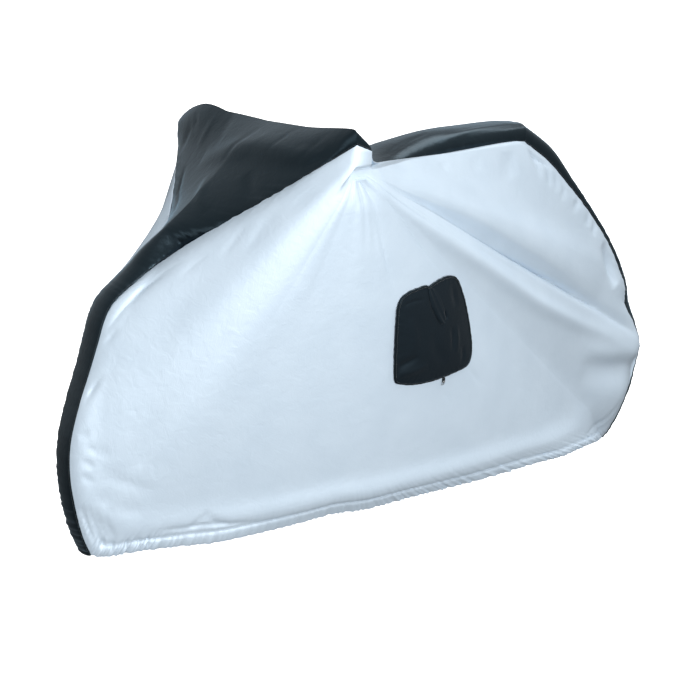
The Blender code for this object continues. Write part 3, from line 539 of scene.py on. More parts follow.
RIGHT_CREASES = [
    Crease(((-0.300, 0.930), (-0.500, 0.815), (-0.760, 0.680), (-1.040, 0.520),
            (-1.300, 0.420)), 0.017, 0.006, False),
    Crease(((-0.290, 0.965), (-0.480, 0.875), (-0.760, 0.735), (-1.040, 0.585),
            (-1.360, 0.405)), 0.009, -0.007, True),
    Crease(((-0.270, 0.940), (-0.330, 0.780), (-0.420, 0.600)), 0.008, -0.0024, True),
    Crease(((-0.240, 0.930), (-0.240, 0.800), (-0.200, 0.640)), 0.008, -0.0020, False),
    Crease(((-0.300, 0.900), (-0.440, 0.720), (-0.640, 0.540)), 0.009, -0.0022, True),
    Crease(((-0.860, 0.966), (-0.880, 0.890)), 0.006, -0.0022, False),
    Crease(((-0.960, 0.950), (-1.000, 0.905), (-1.040, 0.890)), 0.007, -0.0040, True),
    Crease(((-1.100, 0.850), (-1.080, 0.800)), 0.006, -0.0026, False),
    Crease(((0.240, 0.640), (0.190, 0.710), (0.120, 0.770)), 0.006, -0.0034, True),
    Crease(((0.190, 0.690), (0.120, 0.750), (0.050, 0.790)), 0.006, -0.0022, True),
    Crease(((-0.050, 0.860), (-0.020, 0.820)), 0.006, -0.0026, False),
    Crease(((0.300, 0.400), (0.240, 0.370), (0.180, 0.360)), 0.010, -0.0030, False),
    Crease(((0.280, 0.330), (0.200, 0.290), (0.140, 0.280)), 0.012, -0.0034, False),
    Crease(((0.310, 0.270), (0.270, 0.180)), 0.006, -0.0034, False),
    Crease(((0.290, 0.270), (0.240, 0.185)), 0.006, -0.0024, False),
    Crease(((0.120, 0.190), (0.020, 0.186), (-0.120, 0.176)), 0.006, -0.0036, True),
    Crease(((-0.400, 0.200), (-0.520, 0.190), (-0.640, 0.200)), 0.010, -0.0030, False),
    Crease(((-1.160, 0.180), (-1.260, 0.200), (-1.310, 0.260)), 0.008, -0.0030, False),
]
CREASE_DEPTH = 1.25       # every crease's height is taken this many times
CRISP, SOFT = 1.2, 2.0    # how a crease falls off, like a ridge and like a hill


def crease_height(creases, place):
    """How far the creases lift the cloth at places in the view that they are drawn in."""
    total = np.zeros(place.shape[:2])
    for crease in creases:
        line = np.array(crease.line)
        steps = np.linalg.norm(np.diff(line, axis=0), axis=1)
        nearest, share = np.full(total.shape, np.inf), np.zeros(total.shape)
        over, under = np.broadcast_to(crease.width, 2)
        width = np.full(total.shape, over)
        for a, b, step, start in zip(line, line[1:], steps, steps.cumsum() - steps):
            ahead, off = b - a, place - a
            along = np.clip(off @ ahead / step ** 2, 0, 1)
            gap = np.linalg.norm(off - along[..., None] * ahead, axis=2)
            is_under = ahead[0] * off[..., 1] - ahead[1] * off[..., 0] > 0
            width = np.where(gap < nearest, np.where(is_under, under, over), width)
            share = np.where(gap < nearest, (start + along * step) / steps.sum(), share)
            nearest = np.minimum(gap, nearest)
        side = np.exp(-(nearest / width) ** (CRISP if crease.crisp else SOFT))
        total += CREASE_DEPTH * crease.height * side * np.sin(share * math.pi) ** 0.8
    return total


print(len(LEFT_CREASES), "creases on the left,", len(RIGHT_CREASES), "on the right")

# %% [markdown]
# On the dark band the cloth lies over a bar under the hood and breaks there: above it
# faces the sky, below it hangs.  Small folds run from that break to the hood's corner.
# These lines are in front view, those on the hump in plan.

# %% Creases of the dark band
HOOD_CREASES = [
    Crease(((-0.110, 0.992), (-0.060, 1.006), (-0.011, 1.020), (0.066, 1.034), (0.120, 1.031),
            (0.183, 1.026), (0.239, 1.029), (0.298, 1.048), (0.331, 1.063)), 0.020, 0.009, False),
    Crease(((0.331, 1.061), (0.284, 1.051), (0.232, 1.032), (0.216, 1.020)), 0.006, -0.0034, True),
    Crease(((0.318, 1.075), (0.263, 1.062), (0.214, 1.045), (0.177, 1.034)), 0.005, -0.0028, True),
    Crease(((0.309, 1.047), (0.272, 1.027), (0.237, 1.008)), 0.006, -0.0028, True),
    Crease(((-0.206, 1.081), (-0.239, 1.044), (-0.250, 0.992)), 0.007, -0.0034, True),
    Crease(((-0.161, 1.075), (-0.161, 1.042), (-0.165, 1.010)), 0.006, 0.0022, True),
    Crease(((-0.147, 1.084), (-0.111, 1.062), (-0.077, 1.033)), 0.006, -0.0024, True),
    Crease(((-0.172, 0.968), (-0.127, 0.919), (-0.042, 0.880)), 0.008, -0.0030, True),
    Crease(((0.124, 1.066), (0.130, 1.031)), 0.006, -0.0018, False),
    Crease(((0.020, 1.068), (0.000, 1.030), (-0.010, 0.990)), 0.008, -0.0016, False),
    Crease(((-0.030, 0.960), (0.020, 0.920), (0.060, 0.900)), 0.010, 0.0026, False),
    Crease(((0.090, 0.980), (0.140, 0.940), (0.170, 0.930)), 0.012, -0.0030, False),
]
HUMP_CREASES = [
    Crease(((-0.494, 0.066), (-0.602, 0.032), (-0.673, 0.021)), 0.007, -0.0020, False),
    Crease(((-0.674, 0.052), (-0.779, 0.044), (-0.884, 0.038)), 0.007, 0.0020, False),
    Crease(((-0.560, -0.040), (-0.700, -0.030), (-0.820, -0.044)), 0.008, -0.0020, False),
    Crease(((-0.866, 0.050), (-0.958, 0.040)), 0.006, -0.0018, False),
]

# %% How far each point lies from the seams and the hem
def measures(grid):
    """Distances from the edge, hood seam and dip seam, and places along them."""
    out, across = reach_along(grid, 1), reach_along(grid, 0)
    return {"from_edge": out[:, -1:] - out, "from_hood": across,
            "from_dip": across[-1:] - across, "edge_at": across[:, -1:],
            "hood_at": out[:1], "dip_at": out[-1:]}


left_measures, right_measures = measures(left_side), measures(right_side)
for name, value in left_measures.items():
    print(name, "up to", round(float(value.max()), 3), "m")


# %% Gathers: waves with an uneven pitch
def uneven_waves(at, pitch, shift):
    """Waves from -1 to 1 whose pitch and height wander, as gathers do."""
    turn = 2 * math.pi * np.asarray(at) / pitch
    # Three waves of unlike pitch, 1, 0.55 and 0.5 high.  Their sum is scaled back to 1.
    main = np.sin(turn + 1.7 * np.sin(turn / 3.3 + shift))
    small = np.sin(turn / 0.57 + 2.1 * np.sin(turn / 2.1 + 1.7 * shift))
    slow = np.sin(turn / 2.3 + 2.9 * shift)
    return (main + 0.55 * small + 0.5 * slow) / 2.05


Gather = namedtuple("Gather", "places heights pitch depth shift slant")


def upright(at):
    """The gathers stand square to their seam."""
    return 0.0


SLANT = 0.9               # how far forward a gather leans for each metre up
SLANT_FROM, SLANT_TO = 1.4, 2.3  # metres along the edge, where gathers begin and stop to lean


def slanted(at):
    """Along the hem the gathers lean, their upper ends further forward."""
    return SLANT * smooth((at - SLANT_FROM) / 0.3) * (1 - smooth((at - SLANT_TO) / 0.1))


HOOD_GATHER = Gather((0, 0.05, 0.20, 0.45, 0.70), (0.0, 0.0010, 0.0016, 0.0016, 0.0014),
                     0.034, 0.050, 0.4, upright)
EDGE_GATHER = Gather((0, 0.25, 0.55, 0.80, 0.86, 1.05, 1.5, 1.75, 2.3, 2.45, 3.0, 3.5, 4.0),
                     (0.0010, 0.0008, 0.0013, 0.0028, 0.0042, 0.0030, 0.0034, 0.0056, 0.0046,
                      0.0020, 0.0012, 0.0016, 0.0014), 0.019, 0.030, 1.1, slanted)
DIP_GATHER = Gather((0, 0.05, 0.3, 0.5), (0.0, 0.0008, 0.0014, 0.0012), 0.024, 0.026, 2.2,
                    upright)


def gather_height(gather, at, away):
    """Height of a seam's gathers at places along it and distances from it."""
    height = np.interp(at, gather.places, gather.heights)
    waves = uneven_waves(at + gather.slant(at) * away, gather.pitch, gather.shift)
    return height * waves * np.exp(-(away / gather.depth) ** 1.3)


# %% The hem: a stitched channel that elastic draws in
HEM_PUFF = ((14, 18, 22, 28, 32, 36), (0.003, 0.004, 0.007, 0.009, 0.008, 0.005))  # by rib
HEM_PUFF_AT, HEM_PUFF_SPREAD = 0.930, 0.034
HEM_FROM, HEM_TO = 12.5, 38.0  # ribs where the channel begins and ends
HEM_FADE = 2.5            # and over how many it fades
CHANNEL = 0.033           # width of the turned-up hem, to its stitching
CHANNEL_ROUND = 0.0026    # how far it stands out
GROOVE_DEPTH, GROOVE_HALF = 0.0026, 0.0035    # the dent along its stitching
TUCK_RIB, TUCK_REACH, TUCK_DEPTH = 25.7, 4.2, 0.009  # where the hem rolls under
BULGE_FADE = 0.25         # beyond its width, a swelling fades over this much cloth
INNER = 0.05              # this near to the edge, gathers of the hood's and dip's seams fade
SEAM_BULGE = np.array([  # rib, how far the cloth swells beside the seam, over what width
    (0, 0.004, 0.045), (14, 0.006, 0.045), (34.5, 0.014, 0.090), (36, 0.024, 0.070),
    (37, 0.028, 0.070), (38.6, 0.032, 0.080), (39.4, 0.028, 0.070), (40.4, 0.012, 0.045),
    (44, 0.012, 0.060), (50, 0.006, 0.040), (57, 0.004, 0.040),
])


def on_hem(numbers):
    """1 at ribs that end on the hem's channel, 0 at a seam, and eased between them."""
    return smooth((numbers - HEM_FROM) / HEM_FADE) * smooth((HEM_TO - numbers) / HEM_FADE)


def hem_height(measure):
    """The puffed cloth above the channel, the channel's own roundness and its stitching."""
    u, v = RIB_NUMBERS[:, None], RING_SHARES[None, :]
    away = measure["from_edge"]
    puff = np.interp(u, *HEM_PUFF) * np.exp(-((v - HEM_PUFF_AT) / HEM_PUFF_SPREAD) ** 2)
    puff = puff * smooth(away / 0.02)
    roll = CHANNEL_ROUND * np.sin(np.clip(away / CHANNEL, 0, 1) * math.pi) ** 0.7
    groove = -GROOVE_DEPTH * np.exp(-((away - CHANNEL) / GROOVE_HALF) ** 2)
    under = -TUCK_DEPTH * np.exp(-((u - TUCK_RIB) / TUCK_REACH) ** 4) * (1 - smooth(away / 0.05))
    return on_hem(u) * (puff + roll + groove + under)


def seam_bulge(measure):
    """Cloth drawn in by a seam swells beside it."""
    u, away = RIB_NUMBERS[:, None], measure["from_edge"]
    swell = np.interp(u, SEAM_BULGE[:, 0], SEAM_BULGE[:, 1]) * np.clip(1 - on_hem(u), 0, 1)
    width = np.interp(u, SEAM_BULGE[:, 0], SEAM_BULGE[:, 2])
    near = np.clip(away / width, 0, 1)
    fade = 1 - smooth((away - width) / BULGE_FADE)
    return swell * (1 - (1 - near) ** 2) * fade


# %% Height of every point
def side_height(folds, creases, grid, measure):
    """All that lifts a side: folds, creases, hem, swollen seams and gathers."""
    inner = smooth(measure["from_edge"] / INNER)
    height = folds_height(folds) + crease_height(creases, grid[..., [0, 2]])
    height += hem_height(measure) + seam_bulge(measure)
    height += gather_height(EDGE_GATHER, measure["edge_at"], measure["from_edge"])
    height += gather_height(HOOD_GATHER, measure["hood_at"], measure["from_hood"]) * inner
    height += gather_height(DIP_GATHER, measure["dip_at"], measure["from_dip"]) * inner
    return height


CREASE_STOP = 0.016       # the dark band's creases fade this near to its seams


def band_height():
    """Creases and gathers of the dark band, with the same waves as the sides at each seam."""
    width = reach_along(band, 1)
    height = np.zeros(band.shape[:2])
    height[:dip_row] = crease_height(HOOD_CREASES, band[:dip_row, :, 1:])
    height[dip_row:crease_row] = crease_height(HUMP_CREASES, band[dip_row:crease_row, :, :2])
    height *= smooth(np.minimum(width, width[:, -1:] - width) / CREASE_STOP)
    nose = first_row[1] - 1 - np.arange(is_nose.sum())
    back = len(band) - 1 - np.arange(is_back.sum())
    for measure, away in ((left_measures, width[:, -1:] - width), (right_measures, width)):
        edge_at = measure["edge_at"][:, 0]
        for rows, at, gather in (
                (nose, edge_at[is_nose], EDGE_GATHER),
                (back, edge_at[is_back], EDGE_GATHER),
                (hood_row - np.arange(len(RING_SHARES)), measure["hood_at"][0], HOOD_GATHER),
                (dip_row + np.arange(len(RING_SHARES)), measure["dip_at"][0], DIP_GATHER)):
            fade = 1.0
            if gather is not EDGE_GATHER:
                fade = smooth((at[-1] - at) / INNER)[:, None]
            height[rows] += gather_height(gather, at[:, None], away[rows]) * fade
    return height


height = np.zeros(len(skin))
height[band_index] = band_height()
hem_ribs = ~is_nose & ~is_back
for index, folds, creases, grid, measure in (
        (left_index, LEFT_FOLDS, LEFT_CREASES, left_side, left_measures),
        (right_index, RIGHT_FOLDS, RIGHT_CREASES, right_unmirrored, right_measures)):
    raised = side_height(folds, creases, grid, measure)
    height[index[1:-1, :-1]] = raised[1:-1, :-1]
    height[index[hem_ribs, -1]] = raised[hem_ribs, -1]
draped = skin + normals_of(skin) * height[:, None] - REST


def edges_of(blocks):
    """The edges of every face as pairs of numbers, in the order that the face turns."""
    return np.vstack([np.stack([block, np.roll(block, -1, 1)], -1).reshape(-1, 2)
                      for block in blocks])


def relaxed(places, centre, reach, rounds):
    """Even out how far the cloth stands out round a point, as stretched cloth does."""
    pairs = edges_of([block for tag in faces for block in faces[tag]])
    gap = np.linalg.norm(places - centre, axis=1)
    pairs = pairs[(gap < reach)[pairs].any(1)]
    share = smooth(1.4 - 1.4 * gap / reach)
    share[band_index.ravel()] = 0.0
    out = places[:, 1].copy()
    for _ in range(rounds):
        total, count = np.zeros(len(out)), np.zeros(len(out))
        for a, b in (pairs.T, pairs.T[::-1]):
            np.add.at(total, a, out[b])
            np.add.at(count, a, 1.0)
        met = count > 0
        out[met] += (total[met] / count[met] - out[met]) * share[met]
    return np.stack([places[:, 0], out, places[:, 2]], -1)


BELOW_CORNERS = ((-0.238, 0.325, 0.975), (-0.205, -0.325, 0.920))  # under the hood's flat ends
RELAX_REACH, RELAX_ROUNDS = 0.045, 60
for corner in BELOW_CORNERS:
    draped = relaxed(draped, np.array(corner) - REST, RELAX_REACH, RELAX_ROUNDS)
print("heights from", round(height.min() * 1000, 1), "to", round(height.max() * 1000, 1), "mm")

# %% [markdown]
# ## Cut the surface into its panels
# Each panel gets a back a little behind its front and a rim along its cut edge, so it is
# a closed sheet.  The real cloth is 0.2 mm thick, drawn here at 1.2 mm so that its rim
# still shows.

# %% Make a closed sheet of each panel
CLOTH = 0.0012
draped_normals = normals_of(draped)


def new_piece(name, places, polygons, sharp=50):
    """A closed mesh object from points and faces, with every face turned outwards."""
    mesh = bpy.data.meshes.new(name)
    mesh.from_pydata(np.asarray(places).reshape(-1, 3).tolist(), [], polygons)
    solid = bmesh.new()
    solid.from_mesh(mesh)
    unused = [v for v in solid.verts if not v.link_faces]
    bmesh.ops.delete(solid, geom=unused, context="VERTS")
    bmesh.ops.recalc_face_normals(solid, faces=solid.faces)
    solid.to_mesh(mesh)
    solid.free()
    mesh.shade_smooth()
    mesh.set_sharp_from_angle(angle=math.radians(sharp))
    piece = bpy.data.objects.new(name, mesh)
    bpy.context.scene.collection.objects.link(piece)
    return piece


def cut_panel(tag):
    """One panel as a mesh: its front, its back and the rim between them."""
    blocks = faces[tag]
    used = np.unique(np.concatenate([block.ravel() for block in blocks]))
    new = np.full(len(draped), -1)
    new[used] = np.arange(len(used))
    front = [new[block] for block in blocks]
    pairs = edges_of(front)
    keys = pairs[:, 0] * len(used) + pairs[:, 1]
    back_keys = pairs[:, 1] * len(used) + pairs[:, 0]
    a, b = pairs[~np.isin(keys, back_keys)].T  # an edge that only one face has is cut cloth
    rim = np.stack([b, a, a + len(used), b + len(used)], 1)
    places = np.vstack([draped[used], draped[used] - draped_normals[used] * CLOTH])
    polygons = [p for block in front for p in block.tolist()]
    polygons += [p for block in front for p in (block[:, ::-1] + len(used)).tolist()]
    return new_piece(PANELS[tag] + "_cloth", places, polygons + rim.tolist(), 70)


panels = [cut_panel(tag) for tag in faces]
for piece in panels:
    triangles = sum(len(p.vertices) - 2 for p in piece.data.polygons)
    print(piece.name, triangles, "triangles")

# %% [markdown]
# ## The pouch on the left side
# The cover folds up and is stored in a flat pouch, which is sewn to its left side.  It is
# two layers of cloth with a bound edge.  A folded tongue lies down from a notch in its top
# edge, and the end of its zip hangs out below.

# %% Places on the left side of the hung cloth
on_left = BVHTree.FromPolygons(draped.tolist(), split(faces[LEFT]).tolist())


def seen_from_left(tree, places):
    """The points of a surface at places (x, z) that are seen from the left."""
    hits = [tree.ray_cast(Vector((x - REST[0], 1.0, z - REST[2])), Vector((0.0, -1.0, 0.0)))[0]
            for x, z in places.reshape(-1, 2)]
    return np.array(hits).reshape(*places.shape[:-1], 3)


def unit(ways):
    """The same ways, one metre long."""
    return ways / np.linalg.norm(ways, axis=-1, keepdims=True)


def closed_curve(points, count):
    """A smooth closed curve through points, as a number of points at even steps."""
    points = np.array(points)
    wrapped = np.vstack([points[-3:], points, points[:4]])
    fine = through(wrapped, np.linspace(3, len(points) + 3, 1500))
    length = reach_along(fine, 0)
    return places_along(fine, length, np.linspace(0, length[-1], count, endpoint=False))


def surface_of(piece):
    """A piece's faces as a tree that rays can hit."""
    return BVHTree.FromPolygons([v.co for v in piece.data.vertices],
                                [list(p.vertices) for p in piece.data.polygons])


# %% The pouch's outline and the creases in it
POUCH_OUTLINE = (
    (-0.415, 0.485), (-0.405, 0.531), (-0.395, 0.595), (-0.389, 0.644), (-0.388, 0.671),
    (-0.395, 0.688), (-0.413, 0.698), (-0.438, 0.703), (-0.466, 0.706), (-0.478, 0.702),
    (-0.490, 0.706), (-0.515, 0.713), (-0.550, 0.716), (-0.573, 0.709), (-0.587, 0.695),
    (-0.606, 0.662), (-0.626, 0.614), (-0.645, 0.553), (-0.651, 0.520), (-0.649, 0.495),
    (-0.636, 0.481), (-0.603, 0.474), (-0.549, 0.466), (-0.498, 0.463), (-0.456, 0.466),
    (-0.426, 0.474),
)
POUCH_CREASES = [
    Crease(((-0.394, 0.668), (-0.410, 0.674), (-0.431, 0.678), (-0.452, 0.677),
            (-0.474, 0.678)), 0.0035, -0.0016, True),
    Crease(((-0.532, 0.642), (-0.538, 0.630), (-0.545, 0.616)), 0.0022, -0.0045, True),
    Crease(((-0.476, 0.700), (-0.480, 0.680), (-0.490, 0.654), (-0.515, 0.617),
            (-0.532, 0.598)), 0.0040, -0.0024, True),
    Crease(((-0.562, 0.596), (-0.572, 0.566), (-0.576, 0.530)), 0.006, -0.0020, False),
    Crease(((-0.582, 0.600), (-0.590, 0.560), (-0.594, 0.520)), 0.006, 0.0016, False),
    Crease(((-0.404, 0.512), (-0.438, 0.524), (-0.470, 0.536)), 0.010, -0.0034, False),
    Crease(((-0.420, 0.494), (-0.460, 0.500), (-0.500, 0.510)), 0.010, 0.0022, False),
    Crease(((-0.560, 0.700), (-0.566, 0.672), (-0.580, 0.640)), 0.009, -0.0020, False),
    Crease(((-0.424, 0.640), (-0.446, 0.590), (-0.452, 0.550)), 0.012, 0.0018, False),
    Crease(((-0.500, 0.590), (-0.520, 0.545), (-0.560, 0.500)), 0.014, -0.0018, False),
    Crease(((-0.610, 0.540), (-0.620, 0.510), (-0.616, 0.490)), 0.007, -0.0018, False),
]
POUCH_CROWN, POUCH_EDGE = 0.0125, 0.0045  # thickness in the middle and at the edge
POUCH_CLEAR = 0.0010      # how far its back stands off the side's cloth
POUCH_ROUND = 0.80        # the way round it, for the pitch of the ripples
outline = closed_curve(POUCH_OUTLINE, 260)
middle = outline.mean(0)
print("pouch", np.round(outline.max(0) - outline.min(0), 3), "m across and up")

# %% The pouch: its back follows the cloth, its front is crowned and creased
pouch_rings = np.concatenate([np.linspace(0, 0.85, 52), np.linspace(0.85, 1.0, 17)[1:]])
places = middle + pouch_rings[:, None, None] * (outline - middle)
lie = seen_from_left(on_left, places)
# The front ignores the small folds below it, so it stands on a surface fitted through them.
x, z = (places - middle).reshape(-1, 2).T
terms = np.stack([np.ones_like(x), x, z, x * x, x * z, z * z], 1)
fitted = terms @ np.linalg.lstsq(terms, lie[..., 1].reshape(-1), rcond=None)[0]
slope = np.linalg.lstsq(terms[:, :3], lie[..., 1].reshape(-1), rcond=None)[0]
OUT = unit(np.array([-slope[1], 1.0, -slope[2]]))
UP = unit(np.array([0.0, 0.0, 1.0]) - OUT[2] * OUT)
ALONG = np.cross(UP, OUT)
lie_flat = lie.copy()
lie_flat[..., 1] = fitted.reshape(lie.shape[:2])

inside = 1 - pouch_rings[:, None]
at_edge = np.linspace(0, POUCH_ROUND, len(outline), endpoint=False)[None, :]
thickness = POUCH_EDGE + (POUCH_CROWN - POUCH_EDGE) * (1 - pouch_rings[:, None] ** 2.6)
thickness = thickness + crease_height(POUCH_CREASES, places) * smooth(inside / 0.10)
ripples = 0.0007 * uneven_waves(at_edge, 0.021, 0.9)
thickness = thickness + ripples * np.exp(-inside / 0.10) * smooth(inside / 0.04)
pouch_back = lie + OUT * POUCH_CLEAR
pouch_front = lie_flat + OUT * (POUCH_CLEAR + thickness)[..., None]
count, ring_count = len(outline), len(pouch_rings)
front_index = np.arange(count * ring_count).reshape(ring_count, count)
back_index = front_index + front_index.size


def around(index):
    """Quads of a grid that closes on itself around each row."""
    return quads(np.column_stack([index, index[:, 0]]))


def fan(index, centre):
    """Triangles from a ring of points to one point in its middle."""
    return np.stack([np.full(len(index), centre), index, np.roll(index, -1)], 1)


# Row 0 has shrunk to the middle, where one of its points is enough.
polygons = fan(front_index[1], 0).tolist() + around(front_index[1:])[:, ::-1].tolist()
polygons += fan(back_index[1], back_index[0, 0])[:, ::-1].tolist()
polygons += around(back_index[1:]).tolist()
polygons += around(np.stack([front_index[-1], back_index[-1]]))[:, ::-1].tolist()
pouch = new_piece("pouch", np.stack([pouch_front, pouch_back]), polygons)
on_pouch = surface_of(pouch)
print("pouch", len(pouch.data.polygons), "faces")

# %% The tongue: a strip folded over at its front edge
TONGUE_FRONT = ((-0.474, 0.700), (-0.479, 0.680), (-0.489, 0.655), (-0.503, 0.634),
                (-0.516, 0.616), (-0.531, 0.601))
TONGUE_BACK = ((-0.490, 0.700), (-0.502, 0.690), (-0.514, 0.675), (-0.523, 0.660),
               (-0.532, 0.643), (-0.543, 0.620))
TONGUE_THICK, TONGUE_FOLD, TONGUE_CLEAR = 0.0012, 0.0026, 0.0003
down = np.linspace(0, 1, 64)
across = np.linspace(-1, 1, 25)
front_edge = through(TONGUE_FRONT, down * (len(TONGUE_FRONT) - 1))
back_edge = through(TONGUE_BACK, down * (len(TONGUE_BACK) - 1))
# The strip ends in a round tip.  Its folded edge stands up, and a low ridge lies beside it.
narrow = np.sqrt(np.clip(1 - (np.clip(down - 0.90, 0, 1) / 0.102) ** 2, 0.02, 1))[:, None, None]
share = across[None, :, None] * narrow
strip = (front_edge[:, None] * (1 - share) + back_edge[:, None] * (1 + share)) / 2
lie = seen_from_left(on_pouch, strip)
fold = TONGUE_FOLD * np.exp(-((across + 0.62) / 0.34) ** 2)[None, :]
fold = fold * (0.75 + 0.25 * np.sin(down * 9))[:, None] \
    + 0.0008 * np.exp(-((across - 0.35) / 0.22) ** 2)[None, :]
round_edge = np.sqrt(np.clip(1 - np.abs(across) ** 6, 0, 1))[None, :]
top = lie + OUT * (TONGUE_CLEAR + (TONGUE_THICK + fold) * (0.35 + 0.65 * round_edge))[..., None]
bottom = lie + OUT * TONGUE_CLEAR


def slab(name, top, bottom):
    """A closed piece between two grids of the same shape."""
    index = np.arange(top.shape[0] * top.shape[1]).reshape(top.shape[:2])
    rim = np.concatenate([index[0, :-1], index[:-1, -1], index[-1, :0:-1], index[:0:-1, 0]])
    low = index.size
    sides = np.stack([rim, np.roll(rim, -1), np.roll(rim, -1) + low, rim + low], 1)
    polygons = quads(index).tolist() + (quads(index)[:, ::-1] + low).tolist()
    return new_piece(name, np.stack([top, bottom]), polygons + sides.tolist())


tongue = slab("pouch_tongue", top, bottom)


# %% The binding: cloth tape folded over the pouch's edge
def swept(name, path, out, wide, high, sides):
    """A closed tube along a closed path, wide across it and high outwards."""
    ahead = unit(np.roll(path, -1, 0) - np.roll(path, 1, 0))
    sideways = unit(np.cross(ahead, out))
    turn = np.linspace(0, 2 * math.pi, sides, endpoint=False)[None, :, None]
    grid = path[:, None] + sideways[:, None] * np.cos(turn) * np.reshape(wide, (-1, 1, 1)) \
        + out * np.sin(turn) * np.reshape(high, (-1, 1, 1))
    index = np.arange(len(path) * sides).reshape(len(path), sides)
    index = np.column_stack([index, index[:, 0]])
    return new_piece(name, grid, quads(np.vstack([index, index[:1]])).tolist())


BINDING_HALF, BINDING_HIGH = 0.0034, 0.0031  # half its width, and half its height
edge_points = lie_flat[-1] + OUT * (POUCH_CLEAR + BINDING_HIGH)
inward = unit(np.cross(OUT, unit(np.roll(edge_points, -1, 0) - np.roll(edge_points, 1, 0))))
ripple = uneven_waves(at_edge[0], 0.023, 0.4)
path = edge_points + inward * (0.0004 * ripple)[:, None]
binding = swept("pouch_binding", path, OUT, BINDING_HALF * (1 + 0.10 * ripple),
                BINDING_HIGH * (1 - 0.06 * ripple), 18)
print("binding", len(binding.data.polygons), "faces")

# %% [markdown]
# The zip's slider is moulded plastic, a plate before and behind the zip with a neck
# between them and a hook for the puller.  The puller is a bent wire loop of plated steel.

# %% The zip's slider and its puller
MM = 0.001
SLIDER_AT = np.array([-0.566, 0.4565])  # below the pouch, in side view
SLIDER_PROFILE = (  # millimetres up and out: back plate, neck, front plate and hook
    (-6.6, 0.3), (6.2, 0.3), (6.6, 1.2), (6.6, 3.8), (6.2, 4.6), (4.8, 4.7), (4.6, 6.2),
    (3.6, 7.2), (-1.8, 7.2), (-2.8, 6.5), (-2.8, 5.9), (-1.8, 6.4), (3.0, 6.4), (3.4, 4.7),
    (-6.2, 4.6), (-6.6, 4.2), (-6.6, 3.3), (4.6, 3.3), (4.6, 1.6), (-6.6, 1.6),
)
slider_seat = seen_from_left(on_left, SLIDER_AT) + OUT * 0.5 * MM


def beside(seat, along, up, out):
    """Points in millimetres from a seat on the cloth."""
    return seat + MM * (np.multiply.outer(along, ALONG) + np.multiply.outer(up, UP)
                        + np.multiply.outer(out, OUT))


HOOK_FROM, HOOK_SHARE = 4.75, 0.26  # the hook stands out from here, this much as wide
up, out = np.array(SLIDER_PROFILE).T
half = np.interp(up, (-6.6, 2.0, 6.6), (1.7, 3.9, 3.4))
half = half * np.where(out > HOOK_FROM, HOOK_SHARE, 1.0)
n = len(up)
cap = np.arange(n)
walls = np.stack([cap, np.roll(cap, -1), np.roll(cap, -1) + n, cap + n], 1)
slider = new_piece("zip_slider_body", np.stack([beside(slider_seat, -half, up, out),
                                                beside(slider_seat, half, up, out)]),
                   [cap[::-1].tolist(), (cap + n).tolist()] + walls.tolist(), 30)
soften = slider.modifiers.new("rounded edges", "BEVEL")
soften.width = 0.25 * MM
soften.segments = 2
soften.limit_method = "ANGLE"

PULLER_LOOP = ((-1.5, 0.4), (1.5, 0.4), (2.7, -1.4), (3.6, -6.5), (2.8, -10.2), (0.0, -11.3),
               (-2.8, -10.2), (-3.6, -6.5), (-2.7, -1.4))
PULLER_DROP = 1.6         # millimetres from the hook down to the loop's own zero
loop = closed_curve(PULLER_LOOP, 72)
reach_out = np.interp(loop[:, 1], (-11.3, -3.0, 0.4), (1.6, 5.4, 5.5))
loop_points = beside(slider_seat, loop[:, 0], loop[:, 1] - PULLER_DROP, reach_out)
puller = swept("zip_puller_loop", loop_points, OUT, 0.85 * MM, 0.70 * MM, 12)

# %% [markdown]
# Every seam is topstitched, and the hem is turned up and stitched.  Real stitches are
# 2.5 mm long; these are drawn at 4.5 mm and a little thicker, so that they can show.

# %% Stitches as one mesh for each thread
STITCH_PITCH, STITCH_LENGTH, THREAD_RADIUS = 0.0045, 0.0034, 0.00042
FIRST_STITCH = 0.004      # where a line's first stitch begins
STITCH_SIDES, STITCH_FULL = 5, 0.72  # a spindle's sides, and its share that is full thick


def at_distance(rows, away):
    """The line a distance in from the first point of every row of a grid."""
    return np.array([places_along(row, length, away)
                     for row, length in zip(rows, reach_along(rows, 1))])


def stitches(name, lines, tree):
    """Short closed spindles of thread along lines that lie on a surface."""
    places, polygons, n = [], [], STITCH_SIDES
    turn = np.arange(n) * 2 * math.pi / n
    for line in lines:
        length = reach_along(line, 0)
        for start in np.arange(FIRST_STITCH, length[-1] - STITCH_PITCH, STITCH_PITCH):
            begin, end = places_along(line, length, np.array([start, start + STITCH_LENGTH]))
            ahead = unit(end - begin)
            hit, way = tree.find_nearest(Vector((begin + end) / 2))[:2]
            way = np.array(way)
            sideways = unit(np.cross(ahead, way))
            centre = np.array(hit) + way * 0.5 * THREAD_RADIUS
            ring = THREAD_RADIUS * (np.outer(np.cos(turn), sideways) + np.outer(np.sin(turn), way))
            half = ahead * STITCH_LENGTH / 2
            first = len(places) * (2 * n + 2)
            places.append(np.vstack([centre - half, centre - STITCH_FULL * half + ring,
                                     centre + STITCH_FULL * half + ring, centre + half]))
            for k in range(n):
                a, b = first + 1 + k, first + 1 + (k + 1) % n
                polygons += [(first, b, a), (a, b, b + n, a + n),
                             (a + n, b + n, first + 2 * n + 1)]
    piece = new_piece(name, np.vstack(places), polygons, 80)
    print(name, len(places), "stitches")
    return piece


